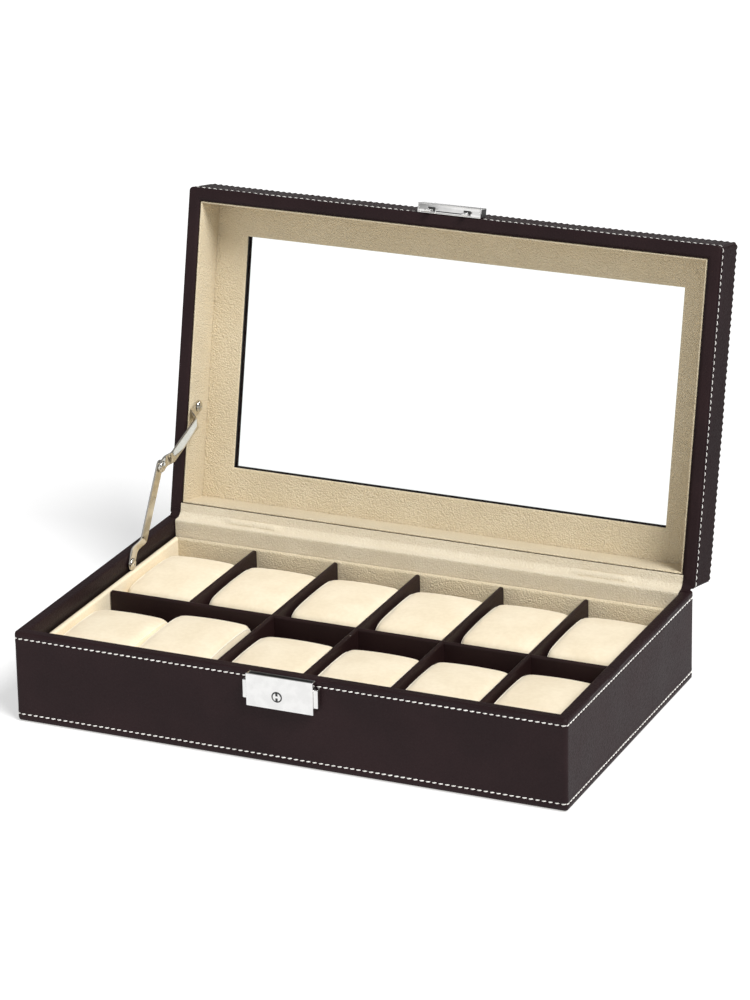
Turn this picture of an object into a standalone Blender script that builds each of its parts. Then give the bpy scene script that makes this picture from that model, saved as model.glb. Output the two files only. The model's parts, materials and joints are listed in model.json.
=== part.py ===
"""Watch box: a leather-covered base with twelve pillows in a divider grid, and a hinged lid
with a glass window, held open by a folding stay and shut by a squeeze lock on the front.

Metres, +Z up. The origin is the centre of the underside, +X runs along the front (to the right),
+Y to the rear. The lid is modelled shut and its pivot empty then turns it open.
"""

import math

import bmesh
import bpy
from mathutils import Matrix, Vector

MM = 0.001
GAP = 0.3 * MM  # between pieces that touch

# The case
WIDTH = 330 * MM
DEPTH = 195 * MM
AXIS_Z = 54 * MM  # height of the parting plane and of the hinge axis
RIM_GAP = 0.2 * MM  # from the parting plane to each rim
LID_HEIGHT = 31 * MM
CORNER = 2 * MM
CORNER_STEPS = 3
SKIN = 1 * MM
BASE_WALL = 6.5 * MM
LID_WALL = 7.7 * MM
OPEN_ANGLE = 102

# The base
FOOT = 0.6 * MM  # underside of the skin above the ground
COVER = 1 * MM
FLOOR_BOARD = 3.7 * MM
FLOOR_LINING = 1 * MM
BAND = 11 * MM  # leather band inside the rim, down to the lining
LINING = 4.2 * MM
LEDGE = 3.5 * MM  # lining's top, inside the band
COVER_INSET = 3 * MM

# The divider grid and its pillows
COLUMNS = 6
DIVIDER = 3 * MM
DIVIDER_TOP = 43.5 * MM
LAP = 25 * MM  # height where crossing dividers are halved
PILLOW_SLACK = (3.17 * MM, 22 * MM)  # free length of a bay across and along its pillow
PILLOW_HEIGHT = 34.8 * MM
FRONT_SHIFT = (-1, 8, -3, -2.5, -1, 1)  # mm from its bay's middle that each front pillow lies
PILLOW_EDGE = 5 * MM
PAIR_GAP = 1.2 * MM  # between the two pillows of the double bay

# The lid
LID_EDGE = 4 * MM
PANEL_DEPTH = 25 * MM  # from the parting plane to the panel lining
PANEL_LINING = 0.5 * MM
LID_LINING = 1 * MM
WINDOW_MARGIN = 28.25 * MM
BEAD = 1.7 * MM  # the window trim, between the lining and the glass
GLASS = 1.7 * MM
GLASS_REBATE = 4 * MM

# Hinges and the fabric over them
HINGE_X = 110 * MM
HINGE_LENGTH = 26 * MM
KNUCKLE_R = 1.7 * MM
PIN_R = 0.8 * MM
LEAF = 0.7 * MM
LEAF_DEPTH = 2.8 * MM
MIDDLE_KNUCKLE = 8.4 * MM
TAPE = 0.5 * MM
TAPE_CREASE = 2.1 * MM  # from the hinge axis to the edge of each tape

# The folding stay, in the YZ plane on the left wall; pivots when the lid is open
STAY_BASE = (31.8 * MM, 47.5 * MM)
STAY_LID = (32.7 * MM, 63.6 * MM)  # with the lid shut
STAY_KNEE = (63.1 * MM, 97.8 * MM)
STRIP = 1.2 * MM
STRIP_WIDTH = 7.6 * MM
EYE_R = 1.9 * MM
SHANK_R = 1.6 * MM
HEAD_R = 3.5 * MM
HEAD = 1.2 * MM
JOGGLE = (9 * MM, 15 * MM)  # where a strip steps inward, measured from its pivot
KNEE_JOGGLE = (9 * MM, 5 * MM)  # where the upper strip steps back, measured from the knee

# The lock
LOCK = Vector((40, 5.2, 19.1)) * MM
LOCK_SHELL = 1.2 * MM
LOCK_FACE = 0.6 * MM
BUTTON_OUT = 2.5 * MM
BUTTON_LENGTH = 7.5 * MM
BUTTON_Z = (38.6 * MM, 49.5 * MM)
BUTTON_BACK = 0.7 * MM
KEY_X = -1.5 * MM
KEY_Z = 42.3 * MM
KEY_R = 3.2 * MM
KEY_SLOT = Vector((1.1, 0.9, 4.4)) * MM
STRIKE = Vector((39, 5.7, 9)) * MM
PRONG = Vector((3, 1.8, 4.7)) * MM
PRONG_X = 11 * MM
PRONG_FROM_FACE = 1.2 * MM

# Worked out from the sizes above
HALF = Vector((WIDTH / 2, DEPTH / 2))
BASE_RIM = AXIS_Z - RIM_GAP
LID_RIM = AXIS_Z + RIM_GAP
LID_TOP = AXIS_Z + LID_HEIGHT
BOARD_IN = SKIN + GAP  # inset of the boards' outer faces
BASE_BOARD_OUT = BASE_WALL - SKIN - GAP  # inset of their inner faces
LINING_TOP = AXIS_Z - BAND - GAP
LINING_IN = BASE_WALL + LEDGE  # inset of the lining's inner faces
BOARD_FOOT = COVER + GAP
FLOOR_TOP = BOARD_FOOT + FLOOR_BOARD
TRAY_FLOOR = FLOOR_TOP + GAP + FLOOR_LINING
TRAY = HALF - Vector((LINING_IN, LINING_IN))
PITCH = (2 * TRAY.x + DIVIDER) / COLUMNS
PILLOW = Vector((PITCH - DIVIDER - PILLOW_SLACK[0], TRAY.y - DIVIDER / 2 - PILLOW_SLACK[1],
                 PILLOW_HEIGHT))
PANEL_Z = AXIS_Z + PANEL_DEPTH + RIM_GAP
PANEL_BOARD_Z = PANEL_Z + PANEL_LINING + GAP
GLASS_Z = PANEL_BOARD_Z + BEAD + GAP
TAPE_TOP = BASE_RIM - TAPE - GAP  # top of the rear board and of the hinge leaves, under the tape
TAPE_END = HALF.x - BASE_WALL - SKIN - GAP

LEATHER = ("leather", (0.036, 0.024, 0.022), 0.42, 0)
BOARD = ("board", (0.36, 0.25, 0.15), 0.8, 0)
SUEDE = ("suede", (0.78, 0.68, 0.50), 0.95, 0)
TWILL = ("twill", (0.74, 0.64, 0.47), 0.95, 0)
VELVET = ("pillow_suede", (0.84, 0.75, 0.58), 0.95, 0)
FELT = ("felt", (0.03, 0.025, 0.024), 0.95, 0)
NICKEL = ("nickel", (0.72, 0.71, 0.69), 0.2, 1)
CHROME = ("chrome", (0.80, 0.80, 0.80), 0.12, 1)
BRASS = ("brass", (0.70, 0.52, 0.24), 0.3, 1)
PANE = ("pane", (0.9, 0.95, 0.93), 0.03, 0)


def material(spec):
    """The named Principled material, made on first use."""
    name, colour, roughness, metallic = spec
    made = bpy.data.materials.get(name)
    if made:
        return made
    made = bpy.data.materials.new(name)
    made.use_nodes = True
    shader = made.node_tree.nodes["Principled BSDF"]
    shader.inputs["Base Color"].default_value = (*colour, 1)
    shader.inputs["Roughness"].default_value = roughness
    shader.inputs["Metallic"].default_value = metallic
    return made


def add_object(name, bm, spec, parent=None, origin=(0, 0, 0)):
    """Turn a bmesh into an object with outward faces, its origin at the given point."""
    bmesh.ops.remove_doubles(bm, verts=bm.verts, dist=1e-6)
    bmesh.ops.recalc_face_normals(bm, faces=bm.faces)
    bmesh.ops.translate(bm, verts=bm.verts, vec=-Vector(origin))
    mesh = bpy.data.meshes.new(name)
    bm.to_mesh(mesh)
    bm.free()
    obj = bpy.data.objects.new(name, mesh)
    bpy.context.collection.objects.link(obj)
    if spec:
        mesh.materials.append(material(spec))
    obj.location = origin
    if parent:
        obj.parent = parent
        obj.location = Vector(origin) - HINGE
    return obj


def soften(obj, width, steps=1):
    """Round every edge with a Bevel modifier."""
    bevel = obj.modifiers.new("edges", "BEVEL")
    bevel.width = width
    bevel.segments = steps
    return obj


def block(name, low, high, spec, parent=None):
    """A box between two corners."""
    low, high = Vector(low), Vector(high)
    bm = bmesh.new()
    bmesh.ops.create_cube(bm, size=1)
    bmesh.ops.scale(bm, verts=bm.verts, vec=high - low)
    bmesh.ops.translate(bm, verts=bm.verts, vec=(low + high) / 2)
    return add_object(name, bm, spec, parent, (low + high) / 2)


def extrude(name, outline, place, start, stop, spec, parent=None):
    """A prism: the outline's points go through place(a, b, depth) at its two ends."""
    bm = bmesh.new()
    ends = [[bm.verts.new(place(a, b, depth)) for a, b in outline] for depth in (start, stop)]
    for end in ends:
        bm.faces.new(end)
    count = len(outline)
    for i in range(count):
        j = (i + 1) % count
        bm.faces.new((ends[0][i], ends[0][j], ends[1][j], ends[1][i]))
    return add_object(name, bm, spec, parent)


def along_x(y, z, x):
    return (x, y, z)


def along_y(x, z, y):
    return (x, y, z)


def along_z(x, y, z):
    return (x, y, z)


def rod(name, radius, start, stop, spec, parent=None, sides=12):
    """A round bar between two points on a line parallel to X or Y."""
    start, stop = Vector(start), Vector(stop)
    bm = bmesh.new()
    turn = Vector((0, 0, 1)).rotation_difference(stop - start).to_matrix().to_4x4()
    length = (stop - start).length
    bmesh.ops.create_cone(bm, cap_ends=True, segments=sides, radius1=radius, radius2=radius,
                          depth=length, matrix=Matrix.Translation((start + stop) / 2) @ turn)
    return add_object(name, bm, spec, parent)


def frame(name, profile, spec, parent=None):
    """Sweep a closed profile of (inset, height) points round the case with rounded corners."""
    bm = bmesh.new()
    stations = []
    for corner in range(4):
        sign_x = (1, -1, -1, 1)[corner]
        sign_y = (1, 1, -1, -1)[corner]
        for step in range(CORNER_STEPS + 1):
            angle = math.radians(90 * (corner + step / CORNER_STEPS))
            ring = []
            for inset, height in profile:
                radius = max(CORNER - inset, 0)
                back = max(CORNER, inset)
                ring.append(bm.verts.new((
                    sign_x * (HALF.x - back) + radius * math.cos(angle),
                    sign_y * (HALF.y - back) + radius * math.sin(angle),
                    height,
                )))
            stations.append(ring)
    count = len(profile)
    for ring, after in zip(stations, stations[1:] + stations[:1]):
        for i in range(count):
            j = (i + 1) % count
            bm.faces.new((ring[i], ring[j], after[j], after[i]))
    bmesh.ops.dissolve_degenerate(bm, dist=1e-6, edges=bm.edges)
    return add_object(name, bm, spec, parent)


def join(obj, tool, operation):
    """Apply a Boolean with a helper object that the model leaves out."""
    boolean = obj.modifiers.new(tool.name, "BOOLEAN")
    boolean.operation = operation
    boolean.object = tool
    tool.hide_render = True
    tool.display_type = "WIRE"


def cut(obj, *tools):
    for tool in tools:
        join(obj, tool, "DIFFERENCE")


def fuse(obj, *tools):
    for tool in tools:
        join(obj, tool, "UNION")


def arc(centre, radius, start, stop, steps):
    """Points on an arc, in degrees."""
    points = []
    for i in range(steps + 1):
        angle = math.radians(start + (stop - start) * i / steps)
        points.append((centre[0] + radius * math.cos(angle), centre[1] + radius * math.sin(angle)))
    return points


def ring_profile(inset_out, inset_in, low, high):
    return [(inset_out, low), (inset_in, low), (inset_in, high), (inset_out, high)]


# ---------------------------------------------------------------- base


def base_wrap():
    """Leather over the outside, the rim and the band inside it; open at the rear for the tape."""
    edge = 1.5 * MM
    outer = [(SKIN, FOOT), (0.7 * SKIN, FOOT), (0, FOOT + SKIN)]
    outer += [(edge + x, BASE_RIM - edge + z) for x, z in arc((0, 0), edge, 180, 90, 2)]
    inner = [(BASE_WALL - SKIN, BASE_RIM), (BASE_WALL, BASE_RIM - SKIN), (BASE_WALL, AXIS_Z - BAND)]
    inside = [(BASE_WALL - SKIN, AXIS_Z - BAND), (BASE_WALL - SKIN, BASE_RIM - SKIN)]
    inside += [(SKIN, BASE_RIM - SKIN)]
    wrap = frame("base_wrap", outer + inner + inside, LEATHER)
    rear = HALF.y - BOARD_IN
    end = TAPE_END + GAP
    cut(wrap, block("tape_rebate_cutter", (-end, HALF.y - BASE_WALL - SKIN, AXIS_Z - BAND - SKIN),
                    (end, rear, AXIS_Z + SKIN), None))
    for side, name in ((-1, "left"), (1, "right")):
        cut(wrap, hinge_notch(f"base_{name}_notch_cutter", side * HINGE_X, -1, None))


def base_boards():
    """Four side boards inside the skin; the rear one is notched for the hinge leaves."""
    out = HALF - Vector((BOARD_IN, BOARD_IN))
    inner = HALF - Vector((BASE_BOARD_OUT, BASE_BOARD_OUT))
    top = BASE_RIM - SKIN - GAP
    for side, name in ((-1, "left"), (1, "right")):
        xs = sorted((side * out.x, side * inner.x))
        board = block(f"base_{name}_board", (xs[0], -out.y, BOARD_FOOT), (xs[1], out.y, top), BOARD)
        soften(board, 0.4 * CORNER)
    end = inner.x - GAP
    block("base_front_board", (-end, -out.y, BOARD_FOOT), (end, -inner.y, top), BOARD)
    outline = notched_edge(end, top, TAPE_END, TAPE_TOP, TAPE_TOP - LEAF - GAP)
    outline += [(end, BOARD_FOOT), (-end, BOARD_FOOT)]
    extrude("base_rear_board", outline, along_y, inner.y, out.y, BOARD)


def notched_edge(end, shoulder, tape_end, level, notch):
    """An edge from -end to end: shoulders, the tape's level between them, and hinge notches."""
    half = HINGE_LENGTH / 2 + GAP
    points = [(-end, shoulder), (-tape_end, shoulder), (-tape_end, level)]
    for x in (-HINGE_X, HINGE_X):
        points += [(x - half, level), (x - half, notch), (x + half, notch), (x + half, level)]
    return points + [(tape_end, level), (tape_end, shoulder), (end, shoulder)]


def base_floor():
    floor = HALF - Vector((BASE_BOARD_OUT + GAP, BASE_BOARD_OUT + GAP))
    block("base_floor_board", (-floor.x, -floor.y, BOARD_FOOT), (floor.x, floor.y, FLOOR_TOP), BOARD)
    cover = HALF - Vector((COVER_INSET, COVER_INSET))
    soften(block("base_bottom_cover", (-cover.x, -cover.y, 0), (cover.x, cover.y, COVER), FELT),
           0.3 * COVER)
    lining = TRAY - Vector((GAP, GAP))
    block("tray_floor_lining", (-lining.x, -lining.y, FLOOR_TOP + GAP),
          (lining.x, lining.y, TRAY_FLOOR), SUEDE)


def base_linings():
    """Four padded boards round the tray, whose tops make the ledge under the band."""
    out = TRAY + Vector((LINING, LINING))
    foot = FLOOR_TOP + GAP
    for side, name in ((-1, "left"), (1, "right")):
        xs = sorted((side * TRAY.x, side * out.x))
        soften(block(f"tray_{name}_lining", (xs[0], -out.y, foot), (xs[1], out.y, LINING_TOP), SUEDE),
               0.25 * LINING)
    end = TRAY.x - GAP
    for side, name in ((-1, "front"), (1, "rear")):
        ys = sorted((side * TRAY.y, side * out.y))
        soften(block(f"tray_{name}_lining", (-end, ys[0], foot), (end, ys[1], LINING_TOP), SUEDE),
               0.25 * LINING)


def column_line(index):
    """X of the divider to the right of the given column, counted from 1 at the left."""
    return -TRAY.x - DIVIDER / 2 + index * PITCH


def rounded_top(start, stop, slots=()):
    """Side outline of a divider: rounded top corners, and slots (place, low, high)."""
    radius = DIVIDER
    foot = TRAY_FLOOR + GAP
    half = DIVIDER / 2 + GAP
    top = [(place, lap) for place, lap, from_top in slots if from_top]
    below = [(place, lap) for place, lap, from_top in slots if not from_top]
    points = arc((start + radius, DIVIDER_TOP - radius), radius, 180, 90, 3)
    for place, lap in top:
        points += [(place - half, DIVIDER_TOP), (place - half, lap)]
        points += [(place + half, lap), (place + half, DIVIDER_TOP)]
    points += arc((stop - radius, DIVIDER_TOP - radius), radius, 90, 0, 3)
    points += [(stop, foot)]
    for place, lap in reversed(below):
        points += [(place + half, foot), (place + half, lap)]
        points += [(place - half, lap), (place - half, foot)]
    return points + [(start, foot)]


def dividers():
    """A long divider halved into five cross ones; the first of those stands behind it only."""
    reach = TRAY - Vector((GAP, GAP))
    laps = [(column_line(i), LAP - GAP / 2, True) for i in range(2, COLUMNS)]
    half = DIVIDER / 2
    soften(extrude("long_divider", rounded_top(-reach.x, reach.x, laps), along_y, -half, half,
                   LEATHER), 0.25 * DIVIDER)
    for i in range(1, COLUMNS):
        x = column_line(i)
        start = half + GAP if i == 1 else -reach.y
        slots = () if i == 1 else ((0, LAP + GAP / 2, False),)
        soften(extrude(f"cross_divider_{i}", rounded_top(start, reach.y, slots), along_x,
                       x - half, x + half, LEATHER), 0.25 * DIVIDER)


def pillow_centres():
    """Name and centre of each pillow, the front row's first two sharing the double bay."""
    bay = (TRAY.y - DIVIDER / 2) / 2 + DIVIDER / 2
    centres = {}
    for row, y in (("front", -bay), ("rear", bay)):
        for column in range(COLUMNS):
            x = column_line(column) + PITCH / 2
            if row == "front" and column < 2:
                x = -TRAY.x + 2 * GAP + PILLOW.x / 2 + column * (PILLOW.x + PAIR_GAP)
            shift = FRONT_SHIFT[column] * MM if row == "front" else 0
            centres[f"pillow_{row}_{column + 1}"] = (x, y + shift)
    return centres


def pillows():
    foot = TRAY_FLOOR + GAP
    for name, (x, y) in pillow_centres().items():
        low = (x - PILLOW.x / 2, y - PILLOW.y / 2, foot)
        high = (x + PILLOW.x / 2, y + PILLOW.y / 2, foot + PILLOW.z)
        soften(block(name, low, high, VELVET), PILLOW_EDGE, 2)


# ---------------------------------------------------------------- hinges and tape


def hinge_notch(name, x, side, parent):
    """Cutter that clears a hinge's knuckles from the skin; side -1 is the base, 1 the lid."""
    half = HINGE_LENGTH / 2 + GAP
    reach = KNUCKLE_R + GAP
    zs = sorted((AXIS_Z - side * 2 * reach, AXIS_Z + side * reach))
    return block(name, (x - half, HALF.y - 2 * reach, zs[0]), (x + half, HALF.y + reach, zs[1]),
                 None, parent)


def hinge(name, x, lid):
    """A butt hinge: base leaf with two knuckles and the pin, lid leaf with one knuckle."""
    half = HINGE_LENGTH / 2
    middle = MIDDLE_KNUCKLE / 2
    inner = HALF.y - KNUCKLE_R - GAP  # where a leaf ends beside the other's knuckle
    heel = inner - LEAF_DEPTH
    low = AXIS_Z - KNUCKLE_R
    outline = [(x - half, heel), (x + half, heel), (x + half, HALF.y), (x + middle + GAP, HALF.y),
               (x + middle + GAP, inner), (x - middle - GAP, inner), (x - middle - GAP, HALF.y),
               (x - half, HALF.y)]
    leaf = extrude(f"hinge_{name}_base_leaf", outline, along_z, low, low + LEAF, BRASS)
    knuckles = []
    for side in (-1, 1):
        ends = (x + side * (middle + GAP), x + side * half)
        knuckles.append(rod(f"{name}_{side}_knuckle_tool", KNUCKLE_R, (ends[0], HALF.y, AXIS_Z),
                            (ends[1], HALF.y, AXIS_Z), None))
    pin = rod(f"{name}_pin_tool", PIN_R, (x - half + GAP, HALF.y, AXIS_Z),
              (x + half - GAP, HALF.y, AXIS_Z), None)
    fuse(leaf, *knuckles, pin)

    outline = [(x - half, heel), (x + half, heel), (x + half, inner), (x + middle, inner),
               (x + middle, HALF.y), (x - middle, HALF.y), (x - middle, inner), (x - half, inner)]
    leaf = extrude(f"hinge_{name}_lid_leaf", outline, along_z, AXIS_Z + KNUCKLE_R - LEAF,
                   AXIS_Z + KNUCKLE_R, BRASS, lid)
    tube = rod(f"{name}_lid_knuckle_tool", KNUCKLE_R, (x - middle, HALF.y, AXIS_Z),
               (x + middle, HALF.y, AXIS_Z), None, lid)
    bore = rod(f"{name}_lid_bore_tool", PIN_R + GAP, (x - 2 * middle, HALF.y, AXIS_Z),
               (x + 2 * middle, HALF.y, AXIS_Z), None, lid)
    fuse(leaf, tube)
    cut(leaf, bore)


def tapes(lid):
    """Fabric over the rear rims: down to the tray lining on the base, flat on the lid."""
    end = TAPE_END
    crease = HALF.y - TAPE_CREASE
    inner = HALF.y - BASE_WALL
    outline = [(inner, AXIS_Z - BAND), (inner, BASE_RIM), (crease, BASE_RIM),
               (crease, BASE_RIM - TAPE), (inner + TAPE, BASE_RIM - TAPE),
               (inner + TAPE, AXIS_Z - BAND)]
    extrude("hinge_tape_base", outline, along_x, -end, end, TWILL)
    block("hinge_tape_lid", (-end, HALF.y - LID_WALL + GAP, LID_RIM), (end, crease, LID_RIM + TAPE),
          TWILL, lid)


# ---------------------------------------------------------------- lid


def lid_wrap(lid):
    """Leather over the lid's rim, sides and top, as far as the window."""
    edge = 1.2 * MM
    inner_edge = LID_EDGE - SKIN
    top = LID_TOP - LID_EDGE
    outer = [(LID_WALL - GAP, LID_RIM)]
    outer += [(edge + x, LID_RIM + edge + z) for x, z in arc((0, 0), edge, 270, 180, 2)]
    outer += [(LID_EDGE + x, top + z) for x, z in arc((0, 0), LID_EDGE, 180, 90, 3)]
    outer += [(WINDOW_MARGIN, LID_TOP), (WINDOW_MARGIN, LID_TOP - SKIN)]
    outer += [(LID_EDGE + x, top + z) for x, z in arc((0, 0), inner_edge, 90, 180, 3)]
    outer += [(SKIN, LID_RIM + SKIN), (LID_WALL - GAP, LID_RIM + SKIN)]
    wrap = frame("lid_wrap", outer, LEATHER, lid)
    end = TAPE_END + GAP
    cut(wrap, block("lid_tape_rebate_cutter", (-end, HALF.y - LID_WALL - SKIN, AXIS_Z - SKIN),
                    (end, HALF.y - BOARD_IN, LID_RIM + SKIN + GAP), None, lid))
    for side, name in ((-1, "left"), (1, "right")):
        cut(wrap, hinge_notch(f"lid_{name}_notch_cutter", side * HINGE_X, 1, lid))


def lid_boards(lid):
    out = HALF - Vector((BOARD_IN, BOARD_IN))
    inner = HALF - Vector((LID_WALL - GAP, LID_WALL - GAP))
    foot = LID_RIM + SKIN + GAP
    top = PANEL_BOARD_Z - GAP
    for side, name in ((-1, "left"), (1, "right")):
        xs = sorted((side * out.x, side * inner.x))
        soften(block(f"lid_{name}_board", (xs[0], -out.y, foot), (xs[1], out.y, top), BOARD, lid),
               0.4 * CORNER)
    end = inner.x - GAP
    block("lid_front_board", (-end, -out.y, foot), (end, -inner.y, top), BOARD, lid)
    outline = notched_edge(end, foot, TAPE_END, LID_RIM + TAPE + GAP, AXIS_Z + KNUCKLE_R + GAP)
    outline += [(end, top), (-end, top)]
    extrude("lid_rear_board", outline, along_y, inner.y, out.y, BOARD, lid)


def lid_panel(lid):
    """The top's board round the glass, the lining under both, and the trim that the glass lies
    on, whose edge lines the window between the two."""
    top = GLASS_Z + GLASS
    rebate = WINDOW_MARGIN - GLASS_REBATE
    frame("lid_panel_board", ring_profile(LID_EDGE + GAP, rebate - GAP, PANEL_BOARD_Z, top),
          FELT, lid)
    pane = HALF - Vector((rebate, rebate))
    block("window_glass", (-pane.x, -pane.y, GLASS_Z), (pane.x, pane.y, top), PANE, lid)
    frame("lid_panel_lining",
          ring_profile(LID_WALL, WINDOW_MARGIN, PANEL_Z, PANEL_Z + PANEL_LINING), SUEDE, lid)
    frame("window_trim",
          ring_profile(rebate, WINDOW_MARGIN, PANEL_BOARD_Z, PANEL_BOARD_Z + BEAD), FELT, lid)


def lid_linings(lid):
    out = HALF - Vector((LID_WALL, LID_WALL))
    inner = out - Vector((LID_LINING, LID_LINING))
    foot = LID_RIM + TAPE
    top = PANEL_Z - GAP
    for side, name in ((-1, "left"), (1, "right")):
        xs = sorted((side * out.x, side * inner.x))
        block(f"lid_{name}_lining", (xs[0], -out.y, foot), (xs[1], out.y, top), SUEDE, lid)
    end = inner.x - GAP
    for side, name in ((-1, "front"), (1, "rear")):
        ys = sorted((side * out.y, side * inner.y))
        block(f"lid_{name}_lining", (-end, ys[0], foot), (end, ys[1], top), SUEDE, lid)


# ---------------------------------------------------------------- stay


def strip(name, pivot, target, stations, spec):
    """A flat bar from its pivot to the target in the YZ plane, along (distance, x) stations."""
    length = math.dist(pivot, target)
    half = STRIP_WIDTH / 2
    path = []
    for angle in (80, 55, 25):
        back = half * math.sin(math.radians(angle))
        path.append((-back, stations[0][1], half * math.cos(math.radians(angle))))
    path += [(distance, x, half) for distance, x in stations]
    for angle in (25, 55, 80):
        on = half * math.sin(math.radians(angle))
        path.append((length + on, stations[-1][1], half * math.cos(math.radians(angle))))
    bm = bmesh.new()
    rings = []
    for distance, x, reach in path:
        corners = ((x, -reach), (x, reach), (x + STRIP, reach), (x + STRIP, -reach))
        rings.append([bm.verts.new((across, distance, side)) for across, side in corners])
    for ring, after in zip(rings, rings[1:]):
        for i in range(4):
            j = (i + 1) % 4
            bm.faces.new((ring[i], ring[j], after[j], after[i]))
    bm.faces.new(rings[0])
    bm.faces.new(rings[-1])
    bar = add_object(name, bm, spec)
    turn = math.atan2(target[1] - pivot[1], target[0] - pivot[0])
    bar.location = (0, *pivot)
    bar.rotation_euler = (turn, 0, 0)
    return bar


def rivet_head(name, x, sign, y, z, spec, parent=None, shank=0):
    """A domed head turned about X, its flat side at x, with a shank behind it."""
    bm = bmesh.new()
    profile = [(-shank, 0), (-shank, SHANK_R), (0, SHANK_R)] if shank else [(0, 0)]
    profile += [(0, HEAD_R), (0.4 * HEAD, 0.94 * HEAD_R), (0.8 * HEAD, 0.6 * HEAD_R), (HEAD, 0)]
    sides = 12
    rings = []
    for depth, radius in profile:
        if radius == 0:
            rings.append([bm.verts.new((x + sign * depth, y, z))])
            continue
        ring = []
        for i in range(sides):
            angle = math.tau * i / sides
            ring.append(bm.verts.new((x + sign * depth, y + radius * math.cos(angle),
                                      z + radius * math.sin(angle))))
        rings.append(ring)
    for ring, after in zip(rings, rings[1:]):
        for i in range(sides):
            j = (i + 1) % sides
            corners = {ring[i % len(ring)]: 0, ring[j % len(ring)]: 0,
                       after[j % len(after)]: 0, after[i % len(after)]: 0}
            bm.faces.new(list(corners))
    return add_object(name, bm, spec, parent, (x, y, z))


def open_point(point):
    """A (y, z) point of the shut lid, once the lid is open."""
    turn = math.radians(OPEN_ANGLE)
    y, z = point[0] - HALF.y, point[1] - AXIS_Z
    return (HALF.y + y * math.cos(turn) + z * math.sin(turn),
            AXIS_Z - y * math.sin(turn) + z * math.cos(turn))


def stay(lid):
    """Two strips that fold along the left wall: rivets on the walls, one head on each at the knee."""
    wall = -HALF.x + BASE_WALL
    lower_eye = wall + 2 * GAP
    lower_main = lower_eye + 4.5 * MM
    lower = strip("stay_lower_link", STAY_BASE, STAY_KNEE,
                  [(0, lower_eye), (JOGGLE[0], lower_eye), (JOGGLE[1], lower_main),
                   (math.dist(STAY_BASE, STAY_KNEE), lower_main)], NICKEL)
    cut(lower, rod("lower_eye_cutter", EYE_R, (lower_eye - STRIP, *STAY_BASE),
                   (lower_eye + 2 * STRIP, *STAY_BASE), None))
    fuse(lower, rivet_head("lower_knee_tool", lower_main, -1, *STAY_KNEE, None, shank=STRIP / 2))
    rivet_head("stay_base_rivet", lower_eye + STRIP + GAP, 1, *STAY_BASE, NICKEL,
               shank=STRIP + 2 * GAP)

    lining = -HALF.x + LID_WALL + LID_LINING
    upper_eye = lining + 2 * GAP
    knee = lower_main + STRIP + GAP
    upper_main = knee + 2.6 * MM
    shut_pivot = STAY_LID
    pivot = open_point(shut_pivot)
    length = math.dist(pivot, STAY_KNEE)
    upper = strip("stay_upper_link", pivot, STAY_KNEE,
                  [(0, upper_eye), (JOGGLE[0], upper_eye), (JOGGLE[1] + 2 * MM, upper_main),
                   (length - KNEE_JOGGLE[0], upper_main), (length - KNEE_JOGGLE[1], knee),
                   (length, knee)], NICKEL)
    cut(upper, rod("upper_eye_cutter", EYE_R, (upper_eye - STRIP, *pivot),
                   (upper_eye + 2 * STRIP, *pivot), None))
    fuse(upper, rivet_head("upper_knee_tool", knee + STRIP, 1, *STAY_KNEE, None, shank=STRIP / 2))
    rivet_head("stay_lid_rivet", upper_eye + STRIP + GAP, 1, *shut_pivot, NICKEL, lid,
               STRIP + 2 * GAP)


# ---------------------------------------------------------------- lock


def lock_case():
    """A shallow shell on the front, open to the wall, with a key hole, two slots and two windows."""
    back = -HALF.y - GAP
    face = back - LOCK.y + GAP
    top = BASE_RIM
    foot = top - LOCK.z
    case = soften(block("lock_case", (-LOCK.x / 2, face, foot), (LOCK.x / 2, back, top), CHROME),
                  0.4 * MM)
    pocket = block("lock_pocket_cutter", (-LOCK.x / 2 + LOCK_SHELL, face + LOCK_FACE, foot + LOCK_SHELL),
                   (LOCK.x / 2 - LOCK_SHELL, back + SKIN, top - LOCK_SHELL), None)
    window = block("lock_window_cutter", (-LOCK.x, face + LOCK_FACE, BUTTON_Z[0] - GAP),
                   (LOCK.x, back + SKIN, BUTTON_Z[1] + GAP), None)
    hole = rod("lock_key_cutter", KEY_R + GAP, (KEY_X, face - SKIN, KEY_Z),
               (KEY_X, face + SKIN, KEY_Z), None, sides=20)
    cut(case, pocket, window, hole)
    low, high = prong_span()
    for side in (-1, 1):
        xs = side * PRONG_X - PRONG.x / 2 - GAP, side * PRONG_X + PRONG.x / 2 + GAP
        cut(case, block(f"lock_slot_{side}_cutter", (xs[0], low - GAP, top - 2 * LOCK_SHELL),
                        (xs[1], high + GAP, top + SKIN), None))


def prong_span():
    """Front and rear y of the strike's prongs, inside the lock's pocket."""
    low = -HALF.y - LOCK.y + LOCK_FACE + PRONG_FROM_FACE
    return low, low + PRONG.y


def lock_buttons():
    low = -HALF.y - LOCK.y + LOCK_FACE + GAP
    high = -HALF.y - BUTTON_BACK
    tip = LOCK.x / 2 + BUTTON_OUT
    for side, name in ((-1, "left"), (1, "right")):
        xs = sorted((side * tip, side * (tip - BUTTON_LENGTH)))
        soften(block(f"lock_button_{name}", (xs[0], low, BUTTON_Z[0]), (xs[1], high, BUTTON_Z[1]),
                     CHROME), 0.5 * MM)


def lock_key_plug():
    face = -HALF.y - LOCK.y - GAP
    plug = rod("lock_key_plug", KEY_R, (KEY_X, face, KEY_Z), (KEY_X, -HALF.y - 4 * GAP, KEY_Z),
               CHROME, sides=20)
    half = KEY_SLOT / 2
    cut(plug, block("key_slot_cutter", (KEY_X - half.x, face - SKIN, KEY_Z - half.z),
                    (KEY_X + half.x, face + KEY_SLOT.y, KEY_Z + half.z), None))


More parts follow.
